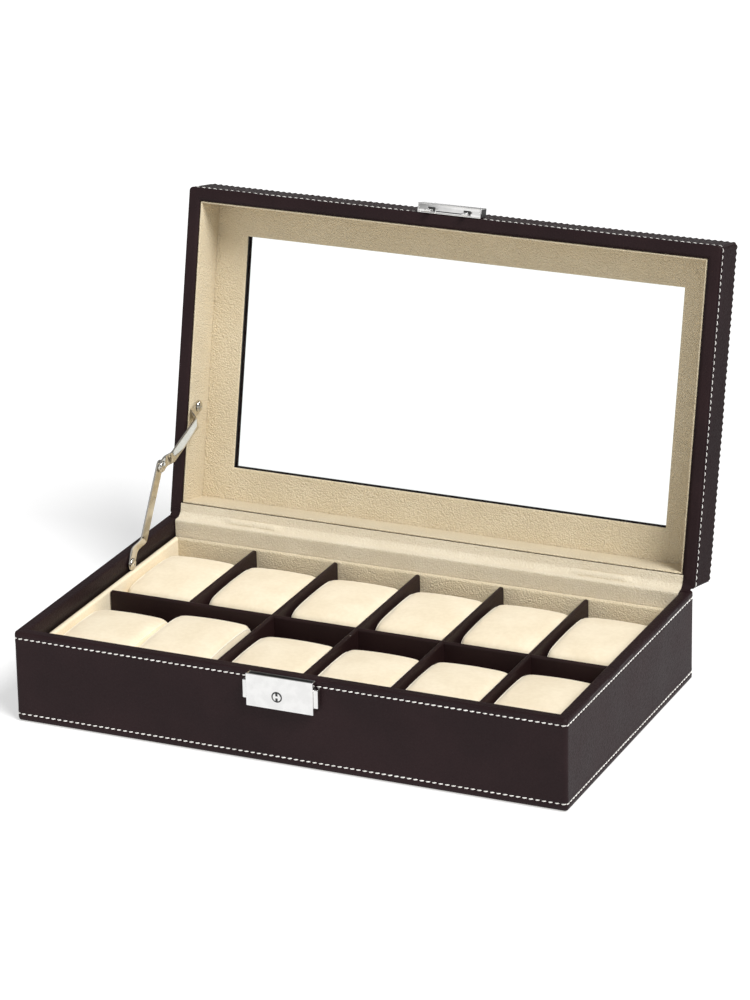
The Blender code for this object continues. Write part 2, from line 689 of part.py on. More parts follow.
def lock_strike(lid):
    """The lid's half: a plate over the lid's front with two prongs that enter the lock."""
    back = -HALF.y - GAP
    plate = soften(block("lock_strike", (-STRIKE.x / 2, back - STRIKE.y, LID_RIM),
                         (STRIKE.x / 2, back, LID_RIM + STRIKE.z), CHROME, lid), 0.6 * MM)
    low, high = prong_span()
    for side in (-1, 1):
        x = side * PRONG_X
        fuse(plate, block(f"prong_{side}_tool", (x - PRONG.x / 2, low, LID_RIM - PRONG.z),
                          (x + PRONG.x / 2, high, LID_RIM + SKIN), None, lid))


for old in list(bpy.data.objects):
    bpy.data.objects.remove(old)

HINGE = Vector((0, HALF.y, AXIS_Z))
lid_pivot = bpy.data.objects.new("lid_pivot", None)
bpy.context.collection.objects.link(lid_pivot)
lid_pivot.location = HINGE

base_wrap()
base_boards()
base_floor()
base_linings()
dividers()
pillows()
lid_wrap(lid_pivot)
lid_boards(lid_pivot)
lid_panel(lid_pivot)
lid_linings(lid_pivot)
tapes(lid_pivot)
hinge("left", -HINGE_X, lid_pivot)
hinge("right", HINGE_X, lid_pivot)
stay(lid_pivot)
lock_case()
lock_buttons()
lock_key_plug()
lock_strike(lid_pivot)
lid_pivot.rotation_euler = (-math.radians(OPEN_ANGLE), 0, 0)
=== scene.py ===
"""A leather-covered watch box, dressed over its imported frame: pebbled leather with sewn edges,
cream suede linings, twelve stuffed pillows, a glass window, a folding stay and a squeeze lock.

Two ways of making a surface do most of the work. A case skin is a closed profile of
(inset, height) points carried round the case's rounded outline: at walk distance s the outline
gives a unit normal n(s) and a share c(s) of the core rectangle, and the point is
c(s) * core(inset) + radius(inset) * n(s), at the profile's height. A rounded block is a rounded
rectangle carried along one axis, drawn in by a quarter circle at both ends.
"""

import json
import math

import bpy
import numpy as np
from mathutils import Matrix, Vector
from mathutils.bvhtree import BVHTree


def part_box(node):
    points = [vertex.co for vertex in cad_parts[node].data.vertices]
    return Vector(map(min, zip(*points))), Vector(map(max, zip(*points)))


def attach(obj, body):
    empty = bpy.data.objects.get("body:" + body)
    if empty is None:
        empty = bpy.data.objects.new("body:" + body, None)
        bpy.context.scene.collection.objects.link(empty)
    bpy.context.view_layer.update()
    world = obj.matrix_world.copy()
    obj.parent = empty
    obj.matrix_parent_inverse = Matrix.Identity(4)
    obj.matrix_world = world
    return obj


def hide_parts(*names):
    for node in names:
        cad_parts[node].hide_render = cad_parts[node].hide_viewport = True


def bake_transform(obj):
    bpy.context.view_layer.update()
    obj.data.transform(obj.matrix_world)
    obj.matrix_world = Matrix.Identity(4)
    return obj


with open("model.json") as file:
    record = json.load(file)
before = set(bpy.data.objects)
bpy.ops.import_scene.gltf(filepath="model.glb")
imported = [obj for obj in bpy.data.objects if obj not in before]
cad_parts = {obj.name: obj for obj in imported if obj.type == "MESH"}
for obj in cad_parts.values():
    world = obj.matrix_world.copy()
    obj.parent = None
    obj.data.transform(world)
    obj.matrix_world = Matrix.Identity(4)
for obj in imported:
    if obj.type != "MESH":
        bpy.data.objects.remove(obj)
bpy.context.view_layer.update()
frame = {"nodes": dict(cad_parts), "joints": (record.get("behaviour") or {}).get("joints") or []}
MM = 0.001

# -------------------- camera
# A long lens in front of the box, to its right and above it, as for a catalogue page.

AIM = Vector((-5.8, 41.2, 104.7)) * MM
AZIMUTH = 24.245
ELEVATION = 20.872
ROLL = -1.08
DISTANCE = 2447.3 * MM
LENS = 156.14


def shown(name, data):
    """A new object in the scene that holds the data."""
    holder = bpy.data.objects.new(name, data)
    bpy.context.collection.objects.link(holder)
    return holder


camera = shown("camera", bpy.data.cameras.new("camera"))
camera.data.lens = LENS
camera.data.sensor_width = 36
camera.data.sensor_fit = "AUTO"
camera.data.clip_end = 20
turn = Matrix.Rotation(math.radians(AZIMUTH), 4, "Z")
turn @= Matrix.Rotation(math.radians(90 - ELEVATION), 4, "X")
turn @= Matrix.Rotation(math.radians(ROLL), 4, "Z")
camera.matrix_world = Matrix.Translation(AIM) @ turn @ Matrix.Translation((0, 0, DISTANCE))
bpy.context.scene.camera = camera

# -------------------- studio
# A white table in a dim room whose front wall is bright, with one broad soft light from the
# upper right and a faint one from the front.

bpy.context.scene.view_settings.view_transform = "Standard"

world = bpy.data.worlds.new("studio")
bpy.context.scene.world = world
world.use_nodes = True
room = world.node_tree
facing = room.nodes.new("ShaderNodeTexCoord")
axes = room.nodes.new("ShaderNodeSeparateXYZ")
front_wall = room.nodes.new("ShaderNodeMapRange")
front_wall.interpolation_type = "SMOOTHSTEP"
for socket, value in (("From Min", -0.75), ("From Max", -0.95), ("To Min", 0.33), ("To Max", 0.95)):
    front_wall.inputs[socket].default_value = value
room.links.new(facing.outputs["Generated"], axes.inputs[0])
room.links.new(axes.outputs["Y"], front_wall.inputs[0])
room.links.new(front_wall.outputs[0], room.nodes["Background"].inputs["Strength"])
room.nodes["Background"].inputs["Color"].default_value = (1, 1, 1, 1)


def far_light(name, aim, strength, spread):
    """A far light that shines from the direction given, softened over an angle in degrees."""
    lamp = bpy.data.lights.new(name, "SUN")
    lamp.energy = strength
    lamp.angle = math.radians(spread)
    shown(name, lamp).rotation_euler = Vector(aim).to_track_quat("Z", "Y").to_euler()


far_light("key_light", (1.0, -0.5, 1.3), 3.2, 26)
far_light("front_light", (-0.3, -1.0, 0.9), 0.15, 60)

FLOOR = 9.0  # half its width, in metres
FLOOR_DROP = 0.2 * MM
floor_mesh = bpy.data.meshes.new("floor")
floor_mesh.from_pydata([(-FLOOR, -FLOOR, 0), (FLOOR, -FLOOR, 0), (FLOOR, FLOOR, 0),
                        (-FLOOR, FLOOR, 0)], [], [(0, 1, 2, 3)])
ground = shown("floor", floor_mesh)
ground.location.z = -FLOOR_DROP
paint = bpy.data.materials.new("floor_paint")
paint.use_nodes = True
table = paint.node_tree.nodes["Principled BSDF"]
table.inputs["Base Color"].default_value = (0.55, 0.55, 0.55, 1)
table.inputs["Emission Color"].default_value = (1, 1, 1, 1)
table.inputs["Emission Strength"].default_value = 0.52
table.inputs["Roughness"].default_value = 0.9
table.inputs["Specular IOR Level"].default_value = 0
floor_mesh.materials.append(paint)

# -------------------- base leather
# One skin of dark brown pebbled leather, pulled over the base's boards: it turns in under the
# bottom, climbs the sides, folds over the rim and ends as a band inside it. Two rows of saddle
# stitching run round the outside, a few millimetres in from the edges.


class Wire:
    """A socket of a node tree. Arithmetic on it adds Math nodes."""

    def __init__(self, finish, socket):
        self.finish = finish
        self.socket = socket

    def maths(self, operation, *terms):
        """The operation on wires or numbers, as a new wire."""
        sockets = dict(enumerate(terms))
        return self.finish.node("ShaderNodeMath", {"operation": operation}, sockets)

    def __add__(self, other):
        return self.maths("ADD", self, other)

    def __sub__(self, other):
        return self.maths("SUBTRACT", self, other)

    def __rsub__(self, other):
        return self.maths("SUBTRACT", other, self)

    def __mul__(self, other):
        return self.maths("MULTIPLY", self, other)

    __radd__ = __add__
    __rmul__ = __mul__

    def between(self, low, high):
        """0 below low, 1 above high, and smooth between."""
        sockets = {0: self, 1: low, 2: high}
        return self.finish.node("ShaderNodeMapRange", {"interpolation_type": "SMOOTHSTEP"}, sockets)


class Finish:
    """A material in the making. node() adds any node; surface() sets the Principled shader."""

    def __init__(self, name):
        self.material = bpy.data.materials.new(name)
        self.material.use_nodes = True
        self.tree = self.material.node_tree
        self.shader = self.tree.nodes["Principled BSDF"]
        self.place = self.node("ShaderNodeTexCoord", out="Object")

    def node(self, kind, settings=None, sockets=None, out=0):
        """A new node with its settings and sockets filled in, and one of its outputs as a wire."""
        made = self.tree.nodes.new(kind)
        for key, value in (settings or {}).items():
            setattr(made, key, value)
        for key, value in (sockets or {}).items():
            self.feed(made.inputs[key], value)
        return Wire(self, made.outputs[out])

    def feed(self, socket, value):
        """Link a wire to a socket, or set the socket to a value."""
        if isinstance(value, Wire):
            self.tree.links.new(value.socket, socket)
        else:
            socket.default_value = value

    def noise(self, size, detail=2):
        """Cloudy noise of about the given feature size in metres, 0 to 1."""
        sockets = {"Vector": self.place, "Scale": 1 / size, "Detail": detail}
        return self.node("ShaderNodeTexNoise", None, sockets)

    def cells(self, size):
        """Distance to the nearest of scattered points, about the given size apart."""
        sockets = {"Vector": self.place, "Scale": 1 / size}
        return self.node("ShaderNodeTexVoronoi", {"feature": "F1"}, sockets)

    def blend(self, mask, first, second):
        """Colour from first to second as the mask goes from 0 to 1."""
        sockets = {0: mask, 6: first, 7: second}
        return self.node("ShaderNodeMix", {"data_type": "RGBA"}, sockets, out=2)

    def surface(self, height=None, relief=0.0, **sockets):
        """Set the shader's sockets, and bump from a height of 0 to 1 that is relief metres tall."""
        for key, value in sockets.items():
            self.feed(self.shader.inputs[key.replace("_", " ")], value)
        if height is not None:
            bump = {"Height": height, "Distance": relief, "Strength": 1.0}
            self.feed(self.shader.inputs["Normal"], self.node("ShaderNodeBump", None, bump))
        return self.material


def leather(name, dark, light, pebble, relief, roughness, gloss):
    """Pebbled leather: rounded cells with creases between them, on softly clouded brown, with
    the creases painted darker as shade.
    """
    finish = Finish(name)
    warp = finish.noise(4 * pebble, 2)
    cell = finish.cells(pebble)
    fine = finish.noise(0.35 * pebble, 3)
    cloud = finish.noise(38 * MM, 3)
    height = (1 - cell) * 0.7 + fine * 0.3 + warp * 0.25
    # The colour mask: random clouds of tone, plus painted shade darkening the creases between
    # cells.
    tone_and_crease_shade = cloud.between(0.3, 0.72) * 0.7 + (1 - cell) * 0.3
    return finish.surface(
        height, relief,
        Base_Color=finish.blend(tone_and_crease_shade, dark, light),
        Roughness=roughness + 0.16 * cloud + 0.1 * cell,
        Specular_IOR_Level=gloss,
    )


case_leather = leather("pebbled_leather", (0.014, 0.0062, 0.0072, 1), (0.022, 0.0104, 0.0115, 1),
                       1.1 * MM, 0.15 * MM, 0.42, 0.14)

low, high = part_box("base_wrap")
HALF = np.array([high.x, high.y])
CORNER = 2 * MM
INNER_CORNER = 0.3 * MM  # where an inset is past the corner's radius
PARTING = 54 * MM
BASE_RIM = high.z
BASE_FOOT = low.z
BASE_WALL = 6.5 * MM
SKIN = 0.8 * MM
BAND_FOOT = 43 * MM
STITCH_PITCH = 3.72 * MM
PER_STITCH = 6  # stations of a skin along each stitch

RUN = 2 * (HALF - CORNER)
BEND = math.pi / 2 * CORNER
WALK = 2 * RUN.sum() + 4 * BEND  # once round the outline
STITCHES = round(WALK / STITCH_PITCH)
STITCH_STEP = WALK / STITCHES


def outline(distance):
    """Walk round the outline from the front's left end: the share (-1 to 1) of the core rectangle
    that each distance lies at, and the outward normal there. Straight runs slide along an edge
    of the core, and corners turn about one of its corners."""
    lengths = np.array([RUN[0], BEND, RUN[1], BEND, RUN[0], BEND, RUN[1], BEND])
    ends = np.cumsum(lengths)
    piece = np.searchsorted(ends, distance % WALK, side="right").clip(0, 7)
    part = (distance % WALK - (ends - lengths)[piece]) / lengths[piece]
    side = piece // 2
    straight = piece % 2 == 0
    angle = np.radians(-90 + 90 * side + np.where(straight, 0, 90 * part))
    normal = np.stack([np.cos(angle), np.sin(angle)], -1)
    along = np.stack([-normal[:, 1], normal[:, 0]], -1)
    corner = np.array([[1, -1], [1, 1], [-1, 1], [-1, -1]])[side]
    slide = normal + along * (2 * part - 1)[:, None]
    return np.where(straight[:, None], slide, corner), normal


def carried(distance, inset, height):
    """Points at an inset and height for each walk distance: share * core + radius * normal."""
    share, normal = outline(distance)
    radius = np.maximum(CORNER - inset, INNER_CORNER)
    core = HALF - (inset + radius)[..., None]
    flat = share[:, None, :] * core + radius[..., None] * normal[:, None, :]
    return np.concatenate([flat, height[..., None]], -1)


def spread(profile, stations):
    """The profile's insets and heights, repeated for every station."""
    return [np.tile(column, (stations, 1)) for column in profile.T]


def mesh_piece(name, points, faces, material):
    """A smooth mesh object from vertices and faces, its faces turned outwards."""
    mesh = bpy.data.meshes.new(name)
    mesh.from_pydata(points.tolist(), [], faces)
    mesh.validate()
    mesh.calc_loop_triangles()
    corners = np.array([t.vertices for t in mesh.loop_triangles])
    a, b, c = (points[corners[:, i]] for i in range(3))
    if np.einsum("ij,ij->", a, np.cross(b, c)) < 0:
        mesh.flip_normals()
    mesh.shade_smooth()
    mesh.materials.append(material)
    return shown(name, mesh)


def grid_faces(rows, columns, close_rows, close_columns):
    """Quads between neighbours of a grid of vertices, joined round where it is closed."""
    index = np.arange(rows * columns).reshape(rows, columns)
    if close_rows:
        index = np.vstack([index, index[:1]])
    if close_columns:
        index = np.hstack([index, index[:, :1]])
    return np.stack([index[:-1, :-1], index[1:, :-1], index[1:, 1:], index[:-1, 1:]], -1)


def tube_piece(name, grid, material, close_rows=False, sharp=None):
    """A grid of closed rings: joined end to end, or capped with a flat face at both ends."""
    rows, columns = grid.shape[:2]
    faces = grid_faces(rows, columns, close_rows, True).reshape(-1, 4).tolist()
    if not close_rows:
        faces.append(list(range(columns)))
        faces.append(list(range((rows - 1) * columns, rows * columns)))
    piece = mesh_piece(name, grid.reshape(-1, 3), faces, material)
    if sharp is not None:
        piece.data.set_sharp_from_angle(angle=math.radians(sharp))
    return piece


def arc_points(centre, radius, start, stop, steps):
    """Points on an arc given in degrees."""
    angle = np.radians(np.linspace(start, stop, steps + 1))
    return np.stack([centre[0] + radius * np.cos(angle), centre[1] + radius * np.sin(angle)], -1)


def sewn_heights(rows, low_end, high_end):
    """Heights of a wall's points: every 0.45 mm within 2.25 mm of a stitched row, else sparse."""
    dense = [row + np.arange(-5, 6) * 0.45 * MM for row in rows]
    sparse = np.linspace(low_end, high_end, 9)
    heights = np.unique(np.concatenate([*dense, sparse]).round(6))
    heights = heights[(heights > low_end) & (heights < high_end)]
    return heights[np.append(True, np.diff(heights) > 0.2 * MM)]


def sewn(distance, height, row, depth, puff):
    """How far the leather stands out near a stitched row: a groove that is deepest at each needle
    hole, and a puff to both sides between holes."""
    phase = 0.5 + 0.5 * np.cos(2 * np.pi * distance[:, None] / STITCH_STEP)
    off = (height - row) / MM
    groove = np.exp(-(off / 0.55) ** 2) * (0.45 + 0.55 * phase)
    shoulder = np.exp(-((np.abs(off) - 1.5) / 0.8) ** 2) * (1 - 0.6 * phase)
    return puff * shoulder - depth * groove


def uneven(distance, height, amount):
    """Slow waves of hand-laid leather over board."""
    s = distance[:, None] / WALK * 2 * np.pi
    return amount * (np.sin(7 * s + 1) + np.sin(17 * s + height * 90) + np.sin(29 * s + 2)) / 3


BASE_ROWS = (BASE_FOOT + 3.9 * MM, BASE_RIM - 3.9 * MM)
GROOVE = 0.45 * MM  # how deep a stitched row draws the leather in at its holes
SHOULDER = 0.14 * MM  # how far the leather stands out beside the row
WAVES = 0.12 * MM
TAPE_END = 158.15 * MM  # between the two ends the hinge tape lies over the skin, which sinks
TAPE_SINK = 0.75 * MM

distance = np.arange(STITCHES * PER_STITCH) * STITCH_STEP / PER_STITCH
rim_edge = 1.2 * MM
wall = sewn_heights(BASE_ROWS, BASE_FOOT + 1.2 * MM, BASE_RIM - rim_edge)
outer = np.stack([np.zeros_like(wall), wall], -1)
profile = np.concatenate([
    [(SKIN, BASE_FOOT), (0.55 * MM, BASE_FOOT), (0.15 * MM, BASE_FOOT + 0.4 * MM)],
    outer,
    arc_points((rim_edge, BASE_RIM - rim_edge), rim_edge, 180, 90, 4),
    [(3.2 * MM, BASE_RIM), (4.6 * MM, BASE_RIM)],
    arc_points((BASE_WALL - 1.1 * MM, BASE_RIM - 1.1 * MM), 1.1 * MM, 90, 0, 3),
    [(BASE_WALL, 49 * MM), (BASE_WALL, BAND_FOOT), (BASE_WALL - SKIN, BAND_FOOT)],
    arc_points((BASE_WALL - 1.1 * MM, BASE_RIM - 1.1 * MM), 0.3 * MM, 0, 90, 2),
    arc_points((rim_edge, BASE_RIM - rim_edge), rim_edge - SKIN, 90, 180, 2),
])
inset, height = spread(profile, len(distance))
first_wall = 3  # points of the profile before the wall
outside = np.zeros(len(profile))
outside[first_wall:first_wall + len(wall)] = 1
relief = sum(sewn(distance, height, row, GROOVE, SHOULDER) for row in BASE_ROWS)
inset -= outside * (relief + uneven(distance, height, WAVES))
points = carried(distance, inset, height)
rear = (points[..., 1] > HALF[1] - BASE_WALL - 0.1 * MM) & (np.abs(points[..., 0]) < TAPE_END)
inner_half = profile[:, 0] > 1.7 * MM
sink = rear * inner_half * TAPE_SINK
on_top = (profile[:, 1] > BASE_RIM - 1.3 * MM) & inner_half
height -= np.where(on_top, sink, 0)
inset -= np.where(profile[:, 0] > BASE_WALL - 1.2 * MM, sink, 0)
base_skin = tube_piece("base_leather", carried(distance, inset, height), case_leather, True)
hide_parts("base_wrap")
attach(base_skin, "base")

# -------------------- base stitching
# Waxed white thread, sewn as single short stitches that slope a little and sink at both ends.


def thread_finish():
    """Off-white twisted thread: fine slanting ridges along each stitch."""
    finish = Finish("waxed_thread")
    twist = finish.noise(0.25 * MM, 2)
    tone = finish.noise(9 * MM, 2)
    colour = finish.blend(tone.between(0.3, 0.7), (0.72, 0.70, 0.66, 1), (0.86, 0.84, 0.80, 1))
    return finish.surface(twist, 0.06 * MM, Base_Color=colour, Roughness=0.6 + 0.2 * twist)


thread = thread_finish()
STITCH = 2.9 * MM
THREAD_R = 0.42 * MM
STITCH_SLOPE = math.radians(9)


def stitch_row(name, wall_inset, row, body, place=None, tilt=0.0, gauge=THREAD_R):
    """Stitches round the case at one height, on a face that leans up by the tilt, in thread of
    the gauge's radius. Each is six points round by six along, its radius falling to the ends
    and its line sinking as the fourth power of the distance from its middle."""
    share, normal = outline((np.arange(STITCHES) + 0.5) * STITCH_STEP)
    radius = max(CORNER - wall_inset, INNER_CORNER)
    flat = share * (HALF - wall_inset - radius) + radius * normal
    centre = np.column_stack([flat, np.full(STITCHES, row)])
    flat_out = np.column_stack([normal, np.zeros(STITCHES)])
    along = np.column_stack([-normal[:, 1], normal[:, 0], np.zeros(STITCHES)])
    up = np.array([0, 0, 1.0]) * math.cos(tilt) - flat_out * math.sin(tilt)
    out = np.array([0, 0, 1.0]) * math.sin(tilt) + flat_out * math.cos(tilt)
    lay = along * math.cos(STITCH_SLOPE) + up * math.sin(STITCH_SLOPE)
    across = np.cross(out, lay)
    t = np.array([-1, -0.86, -0.35, 0.35, 0.86, 1])
    reach = gauge * np.sqrt(np.clip(1 - 0.82 * t ** 4, 0, 1))
    angle = np.arange(6) * np.pi / 3
    line = (centre[:, None, :] + lay[:, None, :] * (t * STITCH / 2)[None, :, None]
            + out[:, None, :] * (0.16 * MM - 0.55 * MM * t ** 4)[None, :, None])
    ring = (out[:, None, None, :] * np.cos(angle)[None, None, :, None]
            + across[:, None, None, :] * np.sin(angle)[None, None, :, None])
    points = line[:, :, None, :] + ring * reach[None, :, None, None]
    quads = grid_faces(6, 6, False, True).reshape(-1, 4)
    faces = []
    for first in range(0, STITCHES * 36, 36):
        faces += (quads + first).tolist()
        faces += [list(range(first, first + 6)), list(range(first + 30, first + 36))]
    points = points.reshape(-1, 3)
    if place is not None:
        points = place(points)
    piece = mesh_piece(name, points, faces, thread)
    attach(piece, body)


THREAD_SINK = 0.30 * MM
for level, row in zip(("lower", "upper"), BASE_ROWS):
    stitch_row(f"base_stitches_{level}", THREAD_SINK, row, "base")

# -------------------- lid leather
# The lid's skin, in the same leather but duller, with its two outer ends painted darker as shade:
# from inside the rim, up the sides, over the soft top edge and across to the window. Its rows are
# sewn close to both edges and pucker the top one.

OPEN = math.radians(102)


def opened(points):
    """Turn points of the shut lid about the hinge line, to where the lid stands open."""
    y = points[..., 1] - HALF[1]
    z = points[..., 2] - PARTING
    turned = np.array(points, float)
    turned[..., 1] = HALF[1] + y * math.cos(OPEN) + z * math.sin(OPEN)
    turned[..., 2] = PARTING - y * math.sin(OPEN) + z * math.cos(OPEN)
    return turned


# A duller copy of the case leather, painted darker as shade, for the lid's two outer ends.
shaded_end_leather = leather("shaded_end_leather", (0.0105, 0.0047, 0.0055, 1), (0.017, 0.008, 0.009, 1),
                       1.1 * MM, 0.13 * MM, 0.54, 0.07)
LID_RIM = 54.2 * MM
LID_TOP = 85 * MM
LID_WALL = 7.7 * MM
LID_EDGE = 4 * MM
WINDOW = 28.25 * MM
WINDOW_EDGE = WINDOW + 0.6 * MM  # the leather's folded edge stands in past the lining's
LID_ROWS = (LID_RIM + 3.4 * MM, LID_TOP - 2.7 * MM)
ROW_TILT = math.asin((LID_ROWS[1] - LID_TOP + LID_EDGE) / LID_EDGE)
LID_THREAD_R = 0.3 * MM

rim_edge = 0.9 * MM
wall = sewn_heights(LID_ROWS[:1], LID_RIM + rim_edge, LID_TOP - LID_EDGE - 0.3 * MM)
outer = np.stack([np.zeros_like(wall), wall], -1)
edge = arc_points((LID_EDGE, LID_TOP - LID_EDGE), LID_EDGE, 180, 90, 14)
profile = np.concatenate([
    [(LID_WALL - 0.3 * MM, LID_RIM), (5.0 * MM, LID_RIM), (3.0 * MM, LID_RIM)],
    arc_points((rim_edge, LID_RIM + rim_edge), rim_edge, 270, 180, 3),
    outer,
    edge,
    [(5.5 * MM, LID_TOP), (7 * MM, LID_TOP), (14 * MM, LID_TOP), (26.5 * MM, LID_TOP)],
    arc_points((WINDOW_EDGE - 0.7 * MM, LID_TOP - 0.7 * MM), 0.7 * MM, 90, 0, 3),
    [(WINDOW_EDGE, LID_TOP - SKIN), (14 * MM, LID_TOP - SKIN)],
    arc_points((LID_EDGE, LID_TOP - LID_EDGE), LID_EDGE - SKIN, 90, 180, 3),
    [(SKIN, LID_RIM + SKIN), (LID_WALL - 0.3 * MM, LID_RIM + SKIN)],
])
inset, height = spread(profile, len(distance))
first_wall = 7  # points of the profile before the wall
outside = np.zeros(len(profile))
outside[first_wall:first_wall + len(wall) + len(edge) - 1] = 1
relief = sewn(distance, height, LID_ROWS[0], GROOVE, SHOULDER)
inset -= outside * (relief + uneven(distance, height, WAVES))
round_the_edge = np.arange(len(profile)) - first_wall - len(wall)
turn_of = np.radians(np.clip(round_the_edge * 90 / (len(edge) - 1), 0, 90))
on_edge = (round_the_edge >= 0) & (round_the_edge < len(edge) + 2)
phase = 0.5 + 0.5 * np.cos(2 * np.pi * distance[:, None] / STITCH_STEP)
from_row = (turn_of - ROW_TILT) * LID_EDGE / MM
from_row = np.where(on_edge, from_row, (profile[:, 1] - LID_ROWS[1]) / MM)
near = on_edge | (outside > 0)
share, normal = outline(distance)
fullness = 0.24 + 0.14 * np.abs(normal[:, 1:])
pucker = (fullness * (1 - phase) * np.exp(-(from_row / 2.0) ** 2)
          - 0.35 * phase * np.exp(-(from_row / 0.7) ** 2)
          - 0.15 * phase * np.exp(-(from_row / 2.4) ** 2)) * near * MM
inset -= pucker * np.cos(turn_of)
height += pucker * np.sin(turn_of)
points = carried(distance, inset, height)
rear = (points[..., 1] > HALF[1] - LID_WALL - 0.1 * MM) & (np.abs(points[..., 0]) < TAPE_END)
rim_band = (profile[:, 1] < LID_RIM + SKIN + 0.1 * MM) & (profile[:, 0] > 1.4 * MM)
height += rear * rim_band * TAPE_SINK
points = carried(distance, inset, height)
lid_skin = tube_piece("lid_leather", opened(points), case_leather, True)
# Faces on the lid's two outer ends take the darker copy: painted shade.
lid_skin.data.materials.append(shaded_end_leather)
corners = np.array([face.vertices for face in lid_skin.data.polygons])
shaded_outer_end = np.abs(points.reshape(-1, 3)[corners, 0]).min(1) > HALF[0] - SKIN
lid_skin.data.polygons.foreach_set("material_index", shaded_outer_end.astype(np.int32))
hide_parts("lid_wrap")
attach(lid_skin, "lid")
stitch_row("lid_stitches_lower", 0.16 * MM, LID_ROWS[0], "lid", opened, gauge=LID_THREAD_R)
stitch_row("lid_stitches_upper", LID_EDGE * (1 - math.cos(ROW_TILT)) + 0.25 * MM, LID_ROWS[1],
           "lid", opened, ROW_TILT, LID_THREAD_R)

# -------------------- tray lining
# Boards padded with a thin foam and covered in cream suede, painted paler at the two ends as
# light, standing round the tray under the leather band. Their rounded tops make the ledge that
# the pillows lie below.


def suede(name, colour, nap, relief, blotch=0.5, sheen=0.25, grain=0.0):
    """Brushed suede: a short nap that clouds the colour where it lies over, a fine pile, and
    with a grain above 0, rounded pebbles of the nap's size with creases painted darker as shade."""
    finish = Finish(name)
    pile = finish.noise(0.3 * MM, 3)
    mottle = finish.noise(nap, 4)
    cloud = finish.noise(22 * MM, 3)
    pebble = finish.cells(nap)
    tone_and_crease_shade = mottle.between(0.32, 0.68) * blotch + cloud.between(0.3, 0.7) * (1 - blotch)
    # Painted shade: the grain darkens the creases between pebbles.
    tone_and_crease_shade = tone_and_crease_shade - pebble.between(0.3, 0.75) * grain
    dark = tuple(channel * share for channel, share in zip(colour, (0.90, 0.875, 0.83))) + (1,)
    height = pile * 0.3 + mottle * 0.5 - pebble * grain
    return finish.surface(
        height, relief,
        Base_Color=finish.blend(tone_and_crease_shade, dark, (*colour, 1)),
        Roughness=0.86 + 0.1 * mottle,
        Specular_IOR_Level=0.2,
        Sheen_Weight=sheen,
        Sheen_Roughness=0.5,
    )


lining_suede = suede("lining_suede", (0.735, 0.64, 0.465), 1.0 * MM, 0.78 * MM, 0.5, 0.1, 0.65)
# A paler copy of the lining suede for the two end paddings: painted light.
lit_end_suede = suede("lit_end_suede", (0.90, 0.80, 0.61), 1.0 * MM, 0.3 * MM, 0.5, 0.1, 0.3)


def rounded_ring(half_a, half_b, radius, steps):
    """A rounded rectangle's points about the origin, anticlockwise."""
    radius = min(radius, half_a, half_b)
    quarters = []
    for quarter, (a, b) in enumerate(((1, 1), (-1, 1), (-1, -1), (1, -1))):
        centre = (a * (half_a - radius), b * (half_b - radius))
        quarters.append(arc_points(centre, radius, 90 * quarter, 90 * quarter + 90, steps))
    return np.concatenate(quarters)


def centre_and_half(low, high):
    """A box's centre and its half sizes."""
    low, high = np.array(low, float), np.array(high, float)
    return (low + high) / 2, (high - low) / 2


def rounded_block(low, high, radius, axis, steps):
    """A grid of rings for a block with rounded edges: a rounded rectangle along the axis, drawn
    in by a quarter circle at both ends."""
    middle, half = centre_and_half(low, high)
    a, b = [(1, 2), (2, 0), (0, 1)][axis]
    turn = np.radians(np.linspace(0, 90, steps + 1))
    ends = [(-half[axis] + radius * (1 - math.sin(t)), radius * (1 - math.cos(t))) for t in turn]
    stations = ends[::-1] + [(-x, draw) for x, draw in ends]
    grid = np.zeros((len(stations), 4 * (steps + 1), 3))
    for i, (x, draw) in enumerate(stations):
        ring = rounded_ring(half[a] - draw, half[b] - draw, max(radius - draw, 0.05 * MM), steps)
        grid[i, :, axis] = middle[axis] + x
        grid[i, :, a] = middle[a] + ring[:, 0]
        grid[i, :, b] = middle[b] + ring[:, 1]
    return grid


def recoat(node, material):
    """Give a node of the frame that is shown as it is one material of its own."""
    frame["nodes"][node].data.materials.clear()
    frame["nodes"][node].data.materials.append(material)


def block_piece(name, low, high, radius, material, node, body, axis=0, steps=4, place=None):
    """A rounded block that stands for a node."""
    grid = rounded_block(low, high, radius, axis, steps)
    if place is not None:
        grid = place(grid)
    piece = tube_piece(name, grid, material, sharp=50)
    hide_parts(node)
    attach(piece, body)


PADDING_TOP = BAND_FOOT + 0.5 * MM
PADDING_OUT = BASE_WALL + 0.05 * MM
for side in ("left", "right", "front", "rear"):
    low, high = (np.array(corner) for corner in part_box(f"tray_{side}_lining"))
    axis = 1 if side in ("left", "right") else 0
    reach = HALF - PADDING_OUT
    low[:2] = np.maximum(low[:2], -reach)
    high[:2] = np.minimum(high[:2], reach)
    low[axis], high[axis] = -reach[axis] + axis * 0.01 * MM, reach[axis]
    high[2] = PADDING_TOP
    # The two end paddings take the paler copy, painted light.
    cover = lit_end_suede if side in ("left", "right") else lining_suede
    block_piece(f"tray_{side}_padding", low, high, 1.5 * MM, cover, f"tray_{side}_lining",
                "base", axis)
recoat("tray_floor_lining", lining_suede)

# -------------------- dividers
# Thin board wrapped in smooth brown leatherette, halved into one another, with turned-over tops.

leatherette = leather("divider_leatherette", (0.013, 0.0052, 0.0050, 1), (0.020, 0.0080, 0.0076, 1),
                      0.7 * MM, 0.05 * MM, 0.40, 0.2)
for node in ["long_divider"] + [f"cross_divider_{i}" for i in range(1, 6)]:
    low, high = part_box(node)
    axis = 0 if node == "long_divider" else 1
    block_piece(node + "_wrap", low, high, 1.4 * MM, leatherette, node, "base", axis, 5)
